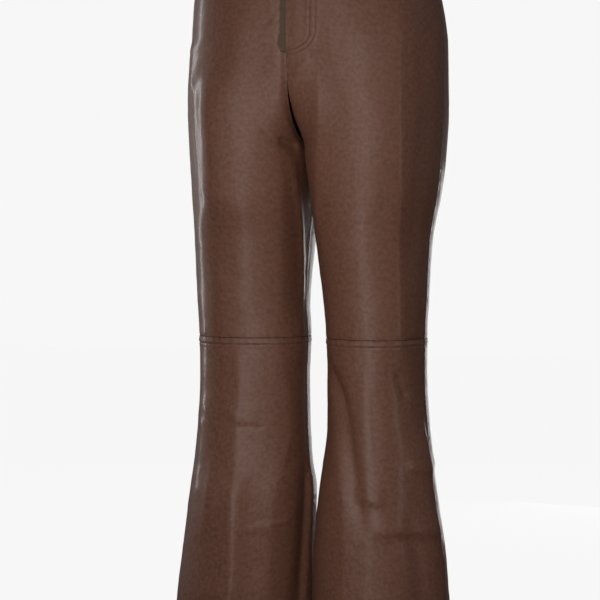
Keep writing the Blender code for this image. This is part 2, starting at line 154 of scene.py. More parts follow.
# %% [markdown]
# One quarter of a section is a rounded corner between an ellipse and a box: |x|^p + |y|^p = 1.
# A half section turns through two of them, from the outseam to the frontmost point and on to
# the inseam. Above the crotch the second is cut off where the centre seam lies, and the centre
# seam runs straight down and then in a J to the crotch. The "turn", 0 to 2, says how far round
# a point is, and because it is any number, not a step, the cloth has no facets.

# %% A place on a section
def corner(angle, power):
    """x and y on |x|^p + |y|^p = 1 in the direction of an angle."""
    across, up = np.cos(angle), np.sin(angle)
    radius = (np.abs(across) ** power + np.abs(up) ** power) ** (-1 / power)
    return radius * across, radius * up


def centre_curve(drop, start_drop, start_y):
    """The y of a centre seam: straight down to start_drop, then a quarter of |x|^p + |y|^p = 1."""
    share = np.clip((drop - start_drop) / (CROTCH_DROP - start_drop), 0, 1)
    reach = (1 - share**CENTRE_CURVE_POWER) ** (1 / CENTRE_CURVE_POWER)
    return CROTCH_Y + (start_y - CROTCH_Y) * reach


def section_place(side, face, drop, turn):
    """x and y at a turn of 0 to 1 on the outer quarter and of 1 to 2 on the inner one.

    Outer: from the outseam at (outer, OUTSEAM_Y) to (front_x, reach). Inner: from there to
    (inner, inseam_y), or to the centre seam's y, where the quarter is cut off."""
    way = -1 if face == "front" else 1
    outer = along(SECTION, "outer_" + side, drop)
    inner = np.maximum(along(SECTION, "inner_" + side, drop), SEAM_GAP / 2)
    reach = way * along(SECTION, face + "_" + side, drop)
    middle = (along(SECTION, "back_" + side, drop) - along(SECTION, "front_" + side, drop)) / 2
    inseam_y = CROTCH_Y + (middle - CROTCH_Y) * ease((drop - CROTCH_DROP) / INSEAM_BLEND)
    start_drop = FRONT_CURVE_DROP if face == "front" else BACK_CURVE_DROP
    dip = FRONT_DIP if face == "front" else BACK_DIP
    seam_y = centre_curve(drop, start_drop, reach - way * dip)
    if face == "front" and side == "right":
        inner = np.maximum(inner, FLY_SLOT * ease((FLY_END_DROP + FLY_SLOT - drop) / FLY_SLOT))
    front_x = inner + (outer - inner) * along(ROUND, "front_x_share", drop)
    inner_power = along(ROUND, "inner_power", drop)
    cut = np.where(drop < CROTCH_DROP, (seam_y - inseam_y) / (reach - inseam_y), 0)
    cut_across = (1 - cut**inner_power) ** (1 / inner_power)
    end_angle = np.arctan2(cut, cut_across)
    quarter = math.pi / 2
    across, up = corner(quarter * np.minimum(turn, 1), along(ROUND, "outer_power", drop))
    outer_x = front_x + (outer - front_x) * across
    outer_y = OUTSEAM_Y + (reach - OUTSEAM_Y) * up
    across, up = corner(quarter + (end_angle - quarter) * np.maximum(turn - 1, 0), inner_power)
    inner_x = front_x - (front_x - inner) * across / cut_across
    inner_y = inseam_y + (reach - inseam_y) * up
    return np.where(turn <= 1, outer_x, inner_x), np.where(turn <= 1, outer_y, inner_y)


TURNS = np.linspace(0, 2, 65)
LEVELS_AT_ONCE = 4000


def section_runs(side, face, drop):
    """The length along each section at every turn of TURNS, one row for each drop."""
    x, y = section_place(side, face, drop[:, None], TURNS)
    steps = np.hypot(np.diff(x), np.diff(y))
    return np.concatenate([np.zeros((len(drop), 1)), np.cumsum(steps, axis=1)], axis=1)


def section_length(side, face, drop):
    """How far it is across the cloth from the outseam to the centre seam or inseam."""
    flat = np.asarray(drop, float).reshape(-1)
    return section_runs(side, face, flat)[:, -1].reshape(np.shape(drop))


def turn_at(side, face, drop, across):
    """The turn at which a section's length from the outseam is across."""
    turns = []
    for start in range(0, len(drop), LEVELS_AT_ONCE):
        part = slice(start, start + LEVELS_AT_ONCE)
        length = section_runs(side, face, drop[part])
        wanted = np.clip(across[part], 0, length[:, -1])
        step = np.clip((length < wanted[:, None]).sum(axis=1) - 1, 0, len(TURNS) - 2)
        row = np.arange(len(wanted))
        share = (wanted - length[row, step]) / (length[row, step + 1] - length[row, step])
        turns.append(TURNS[step] + share * (TURNS[step + 1] - TURNS[step]))
    return np.concatenate(turns)


TURN_DIFFERENCE = 0.004
DROP_DIFFERENCE = 0.4


def bare_cloth(side, face, drop, across):
    """Points of the smooth cloth and its outward normals, at places given as on the flat piece.

    The normal is the cross product of the slopes round the section and down the leg."""
    shape = drop.shape
    drop, across = drop.reshape(-1), across.reshape(-1)
    turn = turn_at(side, face, drop, across)

    def point(level, round_by):
        """A point of the cloth, mirrored for the right leg."""
        x, y = section_place(side, face, level, round_by)
        return np.stack([WAY[side] * x, y, BAND_HEIGHT / 2 - level], axis=-1)

    after, before = np.minimum(turn + TURN_DIFFERENCE, 2), np.maximum(turn - TURN_DIFFERENCE, 0)
    over = point(drop, after) - point(drop, before)
    down = point(drop + DROP_DIFFERENCE, turn) - point(drop - DROP_DIFFERENCE, turn)
    normal = np.cross(over, down) * (1 if (side == "left") == (face == "front") else -1)
    normal /= np.linalg.norm(normal, axis=-1, keepdims=True)
    return point(drop, turn).reshape(shape + (3,)), normal.reshape(shape + (3,))


for level in (FLY_TOP_DROP, KNEE_DROP, HEM_DROP):
    girth = sum(section_length("left", face, np.array([level]))[0] for face in ("front", "back"))
    print("left half's girth at", level, "is", round(girth), "mm")

# %% [markdown]
# The creases. Faux leather is a film on a knit: it holds soft folds where a leg bends, and
# shallow wrinkles fan out from the crotch. Each is given as on the flat piece, through a few
# points (millimetres across from the outseam, drop). A path runs down or inwards; its
# "under" side lies below it or towards the outseam. Two half widths make one flank steeper than
# the other, which is what tells a fold from a wave.

# %% Creases
CREASE_COLUMNS = ("shape", "under", "over", "height", "path")
# Under and over are the half widths of a crease's two flanks.
# The crest of the right flare, which a pressed crease and a wide, soft ridge share.
RIGHT_FLARE_CREST = ((132, 700), (154, 810), (166, 880), (172, 960), (178, 1090))
CREASES = {
    "front_right": (
        # Right thigh: a long swell that flattens the cloth beside it, the fine fold pressed at
        # its foot, and softer ridges round them.
        ("soft", 22, 40, 7.0,
         ((128, 185), (135, 225), (138, 260), (139, 290), (135, 325), (125, 364), (111, 404))),
        ("sharp", 4, 4, 0.45,
         ((72, 165), (88, 205), (101, 232), (106, 272), (106, 311), (95, 364), (87, 402))),
        ("soft", 18, 18, 2.2, ((64, 145), (71, 180), (79, 205), (84, 230))),
        ("soft", 20, 24, 2.6, ((160, 110), (174, 200), (173, 300), (159, 364), (138, 455), (122, 550))),
        ("soft", 18, 18, 1.6, ((112, 440), (100, 500), (92, 560))),
        # Where the right thigh meets the crotch.
        ("sharp", 14, 15, 2.6,
         ((236, 292), (228, 330), (218, 364), (204, 410), (194, 455), (186, 500), (178, 545))),
        ("soft", 8, 8, 2.4, ((232, 290), (248, 325), (250, 363), (241, 430), (228, 520))),
        ("soft", 9, 3, -4.0, ((226, 284), (240, 288), (252, 291), (266, 292))),
        ("soft", 5, 5, -1.1, ((196, 258), (206, 269), (218, 285))),
        ("soft", 4, 6, -0.9, ((200, 146), (208, 139), (216, 133))),
        ("soft", 7, 5, 0.8, ((176, 300), (196, 312), (214, 330))),
        # Right shin: the pressed creases, short folds under the knee, the flare's wide ridge and
        # the trough inside it.
        ("sharp", 14, 17, 3.6,
         ((121, 520), (122, 600), (125, 680), (135, 735), (152, 808), (165, 880), (172, 960), (178, 1090))),
        ("sharp", 15, 16, 2.6,
         ((170, 520), (178, 575), (190, 625), (198, 662), (194, 720), (200, 800), (214, 900), (222, 1090))),
        ("soft", 9, 5, 1.3, ((101, 633), (115, 642), (129, 657))),
        ("soft", 5, 4, -1.4, ((120, 663), (140, 661), (162, 664))),
        ("sharp", 4, 4, 0.9, ((64, 636), (76, 653), (90, 667))),
        ("sharp", 4, 4, 0.9, ((48, 652), (66, 668), (90, 692))),
        ("soft", 9, 6, 1.3, ((149, 801), (178, 792), (207, 789), (240, 770))),
        ("soft", 8, 8, 1.5, ((92, 690), (101, 750), (108, 820))),
        ("sharp", 20, 18, 4.0, RIGHT_FLARE_CREST),
        ("soft", 42, 14, 4.0, RIGHT_FLARE_CREST),
        ("soft", 20, 9, -7.0, ((236, 690), (257, 760), (270, 850), (277, 960), (280, 1090))),
    ),
    "front_left": (
        # Left thigh: the crease towards the side, a wide ridge, the edge of the inner plane, a
        # short fold beside the crotch, and the hollow along the side.
        ("sharp", 16, 19, 3.2,
         ((88, 100), (97, 190), (99, 240), (94, 303), (83, 364), (70, 429), (63, 492), (56, 590))),
        ("soft", 28, 28, 2.0, ((138, 120), (146, 250), (130, 400), (108, 560))),
        ("sharp", 9, 10, 2.4,
         ((201, 190), (203, 235), (204, 264), (205, 301), (204, 340), (201, 370), (194, 430))),
        ("soft", 8, 6, 1.0, ((212, 182), (222, 196), (236, 204))),
        ("soft", 20, 20, -2.0, ((40, 70), (50, 200), (52, 340), (45, 480))),
        # Left shin: the slanting fold under the knee, the crease, the ridge at the outseam and
        # folds across the flare.
        ("soft", 10, 14, -5.5,
         ((190, 560), (174, 580), (152, 603), (141, 630), (135, 700), (133, 745), (134, 800))),
        ("sharp", 10, 13, 2.2,
         ((158, 640), (156, 720), (160, 785), (166, 840), (172, 880), (176, 1090))),
        ("soft", 10, 36, 7.0, ((15, 640), (15, 760), (16, 900), (18, 1090))),
        ("soft", 7, 7, -2.4, ((66, 582), (58, 600), (46, 624))),
        ("soft", 10, 10, 1.3, ((106, 580), (110, 640), (114, 710))),
        ("soft", 6, 13, 1.8, ((2, 716), (30, 712), (64, 706))),
        ("soft", 7, 15, 2.6, ((98, 752), (118, 745), (142, 742))),
        ("soft", 7, 20, 3.0, ((4, 799), (50, 790), (90, 786), (133, 788))),
        ("soft", 14, 14, -2.5, ((70, 740), (62, 850), (75, 980))),
    ),
    "back_left": (
        # Back of the left leg: folds under the seat, behind the knee and down the calf.
        ("soft", 14, 14, -4.5, ((70, 318), (140, 350), (205, 362))),
        ("soft", 13, 10, -3.5, ((45, 372), (110, 405), (165, 412))),
        ("soft", 9, 6, 1.6, ((150, 292), (190, 318), (228, 330))),
        ("soft", 7, 9, 1.5, ((36, 428), (80, 448), (122, 452))),
        ("soft", 12, 9, -4.0, ((60, 520), (115, 541), (170, 533))),
        ("soft", 5, 6, -1.5, ((96, 498), (140, 508), (182, 504))),
        ("soft", 13, 10, -3.0, ((80, 575), (140, 598), (185, 585))),
        ("soft", 5, 7, 1.3, ((30, 618), (70, 630), (104, 626))),
        ("sharp", 14, 15, 2.6, ((118, 620), (128, 760), (140, 900), (146, 1090))),
        ("soft", 13, 13, -3.0, ((52, 640), (60, 760), (58, 900))),
        ("soft", 7, 16, 2.0, ((92, 800), (136, 812), (192, 806))),
        ("soft", 6, 12, 1.5, ((20, 706), (52, 714), (88, 710))),
    ),
    "back_right": (
        # Back of the right leg: the same sorts, elsewhere.
        ("soft", 14, 14, -4.5, ((60, 330), (120, 352), (190, 356))),
        ("soft", 13, 10, -3.0, ((55, 392), (100, 418), (150, 428))),
        ("soft", 8, 6, 1.5, ((160, 300), (198, 322), (230, 336))),
        ("soft", 8, 6, -1.4, ((28, 452), (66, 466), (110, 470))),
        ("soft", 12, 9, -4.0, ((52, 535), (110, 548), (160, 556))),
        ("soft", 6, 6, 1.4, ((112, 505), (150, 514), (196, 508))),
        ("soft", 12, 9, -3.0, ((90, 600), (130, 612), (190, 604))),
        ("soft", 5, 7, 1.2, ((40, 636), (84, 646), (118, 640))),
        ("sharp", 14, 15, 2.4, ((125, 630), (132, 780), (150, 920), (155, 1090))),
        ("soft", 13, 13, -3.0, ((195, 700), (222, 820), (230, 940))),
        ("soft", 7, 15, 1.8, ((40, 760), (84, 772), (128, 764))),
        ("soft", 6, 12, 1.4, ((150, 846), (186, 852), (226, 842))),
    ),
}
PATH_STEPS = 60
SEAM_FADE = 16.0
# A crease fades over a quarter of its length at each end, or less.
END_FADE = 0.25
LONGEST_END_FADE = 60.0
TOP_FADE_DROP = 44.0
SHARP_ROUND = 0.12
SHARP_REACH = 2.5
CREASE_REACH = 2.6


def crease_profile(shape, gap):
    """A crease's section, 1 at its path, for a gap in half widths.

    Soft: exp(-gap^2). Sharp: (1 - distance / SHARP_REACH)^2, a crest that a finger could feel,
    with its tip rounded."""
    if shape == "soft":
        return np.exp(-(gap**2))
    distance = np.sqrt(gap**2 + SHARP_ROUND**2) - SHARP_ROUND
    return np.clip(1 - distance / SHARP_REACH, 0, 1) ** 2


def length_along(points):
    """How far along a run of points each one lies, from 0 at the first."""
    return np.concatenate([[0], np.cumsum(np.linalg.norm(np.diff(points, axis=0), axis=1))])


def smooth_path(points, steps=PATH_STEPS):
    """A smooth run of points through a path's few points, by the length between them."""
    points = np.array(points, float)
    length = length_along(points)
    values = {"drop": length, "across": points[:, 0], "down": points[:, 1]}
    place = np.linspace(0, length[-1], steps)
    return np.stack([along(values, "across", place), along(values, "down", place)], axis=-1)


def nearest_on(path, across, drop):
    """How far each place lies from a path, below it or outseam-wards, how far along it, and
    how long the path is.

    The nearest of the path's points is found first. The offset from it is then split along
    the path's direction there and square to it, so the distance is smooth between points."""
    length = length_along(path)
    direction = np.gradient(path, axis=0)
    direction /= np.linalg.norm(direction, axis=1, keepdims=True)
    gap = (across[:, None] - path[:, 0]) ** 2 + (drop[:, None] - path[:, 1]) ** 2
    near = gap.argmin(axis=1)
    off_across, off_drop = across - path[near, 0], drop - path[near, 1]
    run = off_across * direction[near, 0] + off_drop * direction[near, 1]
    side = off_drop * direction[near, 0] - off_across * direction[near, 1]
    beyond = np.where(near == 0, np.minimum(run, 0), np.where(near == len(path) - 1, np.maximum(run, 0), 0))
    return np.hypot(side, beyond) * np.where(side < 0, -1, 1), length[near] + run - beyond, length[-1]


def close_to(path, across, drop, reach):
    """The numbers of the places that lie within reach of the rectangle round a path."""
    low, high = path.min(axis=0) - reach, path.max(axis=0) + reach
    return np.nonzero((across > low[0]) & (across < high[0]) & (drop > low[1]) & (drop < high[1]))[0]


def crease_lift(side, face, drop, across, edge):
    """How far the creases lift the cloth: for each its height times its profile, less towards
    its ends, and less where the cloth is held by a long seam or the waist seam."""
    lift = np.zeros_like(across)
    for row in CREASES[face + "_" + side]:
        crease = dict(zip(CREASE_COLUMNS, row))
        path = smooth_path(crease["path"])
        reach = CREASE_REACH * max(crease["under"], crease["over"])
        near = close_to(path, across, drop, reach)
        if len(near) == 0:
            continue
        gap, run, whole = nearest_on(path, across[near], drop[near])
        width = np.where(gap > 0, crease["under"], crease["over"])
        fade = min(END_FADE * whole, LONGEST_END_FADE)
        ends = ease(run / fade) * ease((whole - run) / fade)
        lift[near] += crease["height"] * ends * crease_profile(crease["shape"], gap / width)
    return lift * ease(edge / SEAM_FADE) * ease((drop - TOP_FADE_DROP) / SEAM_FADE)


print("creases placed by hand:", sum(len(rows) for rows in CREASES.values()))

# %% [markdown]
# The seams. The cloth rolls in where two pieces are sewn, so each edge follows a small round,
# and the thread gathers it a little: short puckers stand square to the seam and die out within
# a centimetre or two. They are sums of a few sines with unlike lengths, so they never repeat,
# and both pieces of a seam take the same ones, so they meet. A wide, faint swell over the whole
# piece keeps the film from looking like glass.

# %% Seam roll, puckers and swell
SEAM_COLUMNS = ("seed", "pucker", "reach", "roll", "dip", "dip_width")
SEAMS = {
    "outseam_left": (3, 0.6, 8.0, 0.9, -0.7, 3.0),
    "outseam_right": (5, 0.45, 10.0, 0.9, -0.3, 3.0),
    "inseam_left": (7, 0.35, 10.0, 0.9, -0.2, 3.0),
    "inseam_right": (11, 0.35, 10.0, 0.9, -0.4, 3.0),
    "centre_front": (13, 0.30, 9.0, 0.5, 1.8, 7.0),
    "centre_back": (17, 0.40, 10.0, 0.7, 1.2, 7.0),
    "knee_left": (19, 0.35, 9.0, 0.5, 0.35, 3.0),
    "knee_right": (23, 0.35, 9.0, 0.5, 0.35, 3.0),
    "waist": (29, 0.25, 14.0, 0.8, 0.3, 4.0),
}
PUCKER_LENGTHS = (8.7, 12.3, 17.9, 27.1)
PUCKER_AT_SEAM = 0.35
PUCKER_RISE = 4.0
DRIFT = 0.35
DRIFT_WAVES = 9.7
SWELL_WAVES = 16
SWELL_LENGTHS = (16.0, 70.0)
SWELL_HEIGHT = 0.22
SWELL_POWER = 0.6
SWELL_FADE = 10.0
CAUGHT_LENGTH = 14.0


def seam_dip(seam, edge):
    """How deep the cloth lies at a distance from a seam: a quarter circle at the very edge, where
    it rolls in, and a wider bell curve, the valley or, where negative, the welt along the seam."""
    numbers = dict(zip(SEAM_COLUMNS, SEAMS[seam]))
    rest = np.clip(numbers["roll"] - edge, 0, numbers["roll"])
    rolled = numbers["roll"] - np.sqrt(numbers["roll"] ** 2 - rest**2)
    return rolled + numbers["dip"] * np.exp(-((edge / numbers["dip_width"]) ** 2))


def waver(run, seed):
    """A sum of sines of PUCKER_LENGTHS, each with its own phase, that swells and fades along it."""
    random = np.random.default_rng(seed)
    total = np.zeros_like(run)
    for wave in PUCKER_LENGTHS:
        start, drift = random.uniform(0, math.tau, 2)
        strength = 1 - DRIFT + DRIFT * np.sin(math.tau * run / (wave * DRIFT_WAVES) + drift)
        total += strength * np.sin(math.tau * run / wave + start)
    return total / len(PUCKER_LENGTHS) ** 0.5


def pucker(seam, edge, run):
    """The puckers' lift beside a seam: least at the seam itself, most just off it, then less."""
    seed, height, reach = SEAMS[seam][:3]
    rise = PUCKER_AT_SEAM + (1 - PUCKER_AT_SEAM) * ease(edge / PUCKER_RISE)
    return height * waver(run, seed) * rise * np.exp(-((edge / reach) ** 2))


def swell(drop, across, seed):
    """A faint sum of plane waves in all directions over a piece."""
    random = np.random.default_rng(seed)
    total = np.zeros_like(drop)
    for number in range(SWELL_WAVES):
        share = number / (SWELL_WAVES - 1)
        wave = SWELL_LENGTHS[0] * (SWELL_LENGTHS[1] / SWELL_LENGTHS[0]) ** share
        heading, start = random.uniform(0, math.tau, 2)
        place = across * math.cos(heading) + drop * math.sin(heading)
        total += (wave / SWELL_LENGTHS[1]) ** SWELL_POWER * np.sin(math.tau * place / wave + start)
    return SWELL_HEIGHT * total / SWELL_WAVES**0.5


print("kinds of seam:", len(SEAMS))

# %% [markdown]
# The sewn rows. Three runs of stitches show: two rows of J stitching that hold the fly's facing,
# a row under each knee seam that holds its allowance down, and a row above the hem. A row pulls
# the film into a narrow groove and leaves a soft ridge on each side.

# %% Sewn rows
J_ROWS = (
    # distance from the fly's edge, drop where the row reaches the edge, height of its corner
    (31.5, 174.5, 21.0),
    (39.5, 180.0, 29.0),
)
KNEE_ROW = 8.5
HEM_ROW = 22.0
LOWER_ROWS = {"knee": KNEE_DROP + SEAM_GAP / 2 + KNEE_ROW, "hem": HEM_DROP - HEM_ROW}
ROW_DEPTH = 0.5
ROW_WIDTH = 1.1
PUFF = 0.28
PUFF_PLACE = 2.6
PUFF_BREADTH = 1.5
ROW_STEPS = 160
ROW_REACH = 8.0
ROW_BEND = 1.2


def j_path(row):
    """A J row on the left front: straight down, then a quarter of an ellipse to the fly's edge."""
    width, end_drop, tall = J_ROWS[row]
    straight = end_drop - tall
    run = np.linspace(0, 1, ROW_STEPS)
    down = run * (straight - FLY_TOP_DROP + ROW_BEND * width)
    bend = np.clip((down - (straight - FLY_TOP_DROP)) / (ROW_BEND * width), 0, 1) * math.pi / 2
    drop = np.minimum(FLY_TOP_DROP + down, straight) + tall * np.sin(bend)
    from_edge = width * np.cos(bend)
    length = section_length("left", "front", drop)
    return np.stack([length - from_edge, drop], axis=-1)


def level_path(side, face, drop, margin=0.6):
    """A row that runs level across a piece, from one seam to the other."""
    length = float(section_length(side, face, np.array([drop]))[0])
    across = np.linspace(margin, length - margin, ROW_STEPS)
    return np.stack([across, np.full_like(across, drop)], axis=-1)


def sewn_rows(side, face, level):
    """The rows of stitches on a piece, as paths on the flat piece."""
    if level == "lower":
        return [level_path(side, face, drop) for drop in LOWER_ROWS.values()]
    if (side, face) == ("left", "front"):
        return [j_path(0), j_path(1)]
    return []


def row_lift(side, face, level, drop, across):
    """The groove and ridges of a piece's rows: two bell curves, one narrow and down, one wide."""
    lift = np.zeros_like(drop)
    for path in sewn_rows(side, face, level):
        near = close_to(path, across, drop, ROW_REACH)
        gap = nearest_on(path, across[near], drop[near])[0]
        bell = np.exp(-((gap / ROW_WIDTH) ** 2))
        puff = np.exp(-(((np.abs(gap) - PUFF_PLACE) / ROW_WIDTH / PUFF_BREADTH) ** 2))
        lift[near] += PUFF * puff - ROW_DEPTH * bell
    return lift


print("J rows end at drops", [row[1] for row in J_ROWS])

# %% [markdown]
# The whole relief of a piece, at any place on it. One function gives it, so the thread that is
# laid on the cloth later finds the same height as the cloth.

# %% The relief of a piece
KNEE_BAND = 0.45
FLY_PLY = 0.6
FLY_PUFF = 0.5
FLY_PUFF_PLACE = 14.0
FLY_PUFF_WIDTH = 5.0
FLY_VALLEY = 3.2
FLY_VALLEY_WIDTH = 6.5
EDGE_STEPS = 700
EDGE_SPARE = 2
EDGE_CLOSENESS = 2.2
NO_SEAM = 9999
CROTCH_BLEND = 20
# The lap's ply ends below the fly, and the closed seam's valley deepens there.
LAP_PAST_END = 28
LAP_FADE = 36
CLOSING_BEFORE_END = 14
CLOSING_FADE = 24
PLY_STEP = 6
BAND_STEP = 3


def inner_edge(side, face, level):
    """The centre seam and inseam edge of a piece as a path on the flat piece."""
    if level == "lower":
        drop = np.linspace(KNEE_DROP, HEM_DROP + EDGE_SPARE, EDGE_STEPS)
    else:
        down = np.linspace(0, 1, EDGE_STEPS // 2)
        start = FLY_TOP_DROP - EDGE_SPARE
        to_crotch = start + (CROTCH_DROP - start) * (1 - (1 - down) ** EDGE_CLOSENESS)
        drop = np.concatenate([to_crotch, np.linspace(CROTCH_DROP, KNEE_DROP, EDGE_STEPS // 2)[1:]])
    path = np.stack([section_length(side, face, drop), drop], axis=-1)
    length = length_along(path)
    place = np.linspace(0, length[-1], EDGE_STEPS)
    return np.stack([np.interp(place, length, path[:, k]) for k in (0, 1)], axis=-1)


def relief(side, face, level, drop, across):
    """How far a piece's outer face lies outside the smooth cloth, and how near a seam it is."""
    shape = drop.shape
    drop, across = drop.reshape(-1), across.reshape(-1)
    inner = np.abs(nearest_on(inner_edge(side, face, level), across, drop)[0])
    outer = across
    top = drop - (FLY_TOP_DROP if level == "upper" else KNEE_DROP + SEAM_GAP / 2)
    bottom = (KNEE_DROP - SEAM_GAP / 2 if level == "upper" else NO_SEAM) - drop
    edge = np.minimum(outer, section_length(side, face, drop) - across)
    lift = crease_lift(side, face, drop, across, edge)
    faint = swell(drop, across, len(face + side + level) * 31 + ord(side[0]) + ord(face[0]))
    lift += faint * ease(edge / SWELL_FADE)
    lift += row_lift(side, face, level, drop, across)
    above = ease((CROTCH_DROP + CROTCH_BLEND / 2 - drop) / CROTCH_BLEND)
    lapped = 0 * drop
    if (side, face) == ("left", "front"):
        lapped = ease((FLY_END_DROP + LAP_PAST_END - drop) / LAP_FADE)
        lift += lapped * FLY_PLY * (1 - ease((inner - J_ROWS[1][0]) / PLY_STEP + 0.5))
        lift += lapped * FLY_PUFF * np.exp(-(((inner - FLY_PUFF_PLACE) / FLY_PUFF_WIDTH) ** 2))
    if (side, face) == ("right", "front"):
        closing = above * ease((drop - FLY_END_DROP + CLOSING_BEFORE_END) / CLOSING_FADE)
        lift -= closing * FLY_VALLEY * np.exp(-((inner / FLY_VALLEY_WIDTH) ** 2))
    centre, inseam = "centre_" + face, "inseam_" + side
    # The waistband holds the top of the centre back seam flat, so its valley starts below.
    free = ease(top / CAUGHT_LENGTH) if (face, level) == ("back", "upper") else 1
    lift += above * (pucker(centre, inner, drop) - (1 - lapped) * free * seam_dip(centre, inner))
    lift += (1 - above) * (pucker(inseam, inner, drop) - seam_dip(inseam, inner))
    lift += pucker("outseam_" + side, outer, drop) - seam_dip("outseam_" + side, outer)
    knee = np.clip(bottom if level == "upper" else top, 0, None)
    lift += pucker("knee_" + side, knee, across) - seam_dip("knee_" + side, knee)
    if level == "lower":
        lift += KNEE_BAND * (1 - ease((top - KNEE_ROW) / BAND_STEP + 0.5))
    else:
        waist = np.clip(top, 0, None)
        lift += pucker("waist", waist, across) - seam_dip("waist", waist)
    seam = np.minimum(np.minimum(inner, outer), np.clip(np.minimum(top, bottom), 0, None))
    return lift.reshape(shape), seam.reshape(shape)


sample = relief("left", "front", "upper", np.array([[300.0]]), np.array([[110.0]]))
print("relief in the middle of the left thigh:", round(float(sample[0][0, 0]), 2), "mm")

# %% [markdown]
# The pieces as meshes. A piece is a grid whose rows run from the outseam to the inner edge.
# Near the crotch the rows sag, so that they meet the curved edge steeply. Columns and rows
# stand close together at the edges, where the cloth rolls in, and at the J rows. The back face
# is the same grid, one cloth deeper, so each piece is a closed thin shell. At the hem the shell
# turns round and goes up again inside.

# %% Spacing of rows and columns
COARSE = 1.0
CELL = 2.7 * COARSE
EDGE_CELL = 0.3
SPREAD_GROWTH = 0.25
SPREAD_STEPS = 6000
TRIM = 0.06


def spread(start, end, cell, near=(), fine=()):
    """Places from start to end, about a cell apart, closer at the places near, and in the
    stretches fine, each (low, high, cell). The count is the integral of 1 / cell."""
    place = np.linspace(start, end, SPREAD_STEPS)
    size = np.full_like(place, cell)
    for edge in near:
        size = np.minimum(size, EDGE_CELL * COARSE + SPREAD_GROWTH * np.abs(place - edge))
    for low, high, small in fine:
        outside = np.maximum(np.maximum(low - place, place - high), 0)
        size = np.minimum(size, small * COARSE + SPREAD_GROWTH * outside)
    count = np.concatenate([[0], np.cumsum((1 / size[1:] + 1 / size[:-1]) / 2 * np.diff(place))])
    steps = int(round(count[-1]))
    return np.interp(np.linspace(0, count[-1], steps + 1), count, place)


OUTER_MARGIN = 14.0
INNER_MARGINS = {"plain": 14.0, "fly": 50.0}
ROW_CELL = 0.9
J_STRETCH = (27, 44, ROW_CELL)


def column_places(last, width, fly):
    """Places across for every row: fixed distances from both edges, the middle stretched.

    last holds each row's length, and width is the length that the middle is spaced for."""
    margin = INNER_MARGINS["fly" if fly else "plain"]
    outer = spread(0, OUTER_MARGIN, CELL, near=(0,))
    fine = (J_STRETCH,) if fly else ()
    inner = spread(0, margin, CELL, near=(0,), fine=fine)[::-1]
    middle = np.linspace(0, 1, int((width - OUTER_MARGIN - margin) / CELL) + 2)[1:-1]
    span = last[:, None] - OUTER_MARGIN - margin
    parts = [
        np.broadcast_to(outer, (len(last), len(outer))),
        OUTER_MARGIN + span * middle[None, :],
        last[:, None] - inner[None, :],
    ]
    return np.concatenate(parts, axis=1)


print("cells on 100 mm beside a seam:", len(spread(0, 100, CELL, near=(0,))) - 1)

# %% Rows of an upper and of a lower piece
CROTCH_ROW_DROP = 240.0
FORK_CLOSENESS = 1.25
FORK_SAG = 60.0
FORK_STEPS = 1500
J_CURVE = (FLY_END_DROP - FLY_TOP_DROP - 26, FLY_END_DROP - FLY_TOP_DROP + 22, 1.1)


def upper_rows(side, face, fly):
    """The drops of an upper piece's rows at the outseam and at the inner edge, and their sag."""
    fine = np.linspace(FLY_TOP_DROP, CROTCH_DROP, FORK_STEPS)
    run = length_along(np.stack([section_length(side, face, fine), fine], axis=-1))
    stretches = (J_CURVE,) if fly else ()
    inner = np.interp(spread(0, run[-1], CELL, near=(0,), fine=stretches), run, fine)
    reached = np.interp(inner, fine, run) / run[-1]
    outseam = FLY_TOP_DROP + (CROTCH_ROW_DROP - FLY_TOP_DROP) * reached
    end = KNEE_DROP - SEAM_GAP / 2
    leg = spread(0, end - CROTCH_ROW_DROP, CELL, near=(end - CROTCH_ROW_DROP,))[1:]
    share = leg / leg[-1]
    outseam = np.append(outseam, CROTCH_ROW_DROP + (end - CROTCH_ROW_DROP) * share)
    inner = np.append(inner, CROTCH_DROP + (end - CROTCH_DROP) * share**FORK_CLOSENESS)
    sag = FORK_SAG * np.append(reached**3, (1 - share) ** 2)
    return outseam, inner, sag


CLOTH = 1.0
HEM_ROUND = 1.2
BEND_STEPS = 9
ROW_MARGIN = 3
TUCK = 1.3
TUCK_DEPTH = 0.5


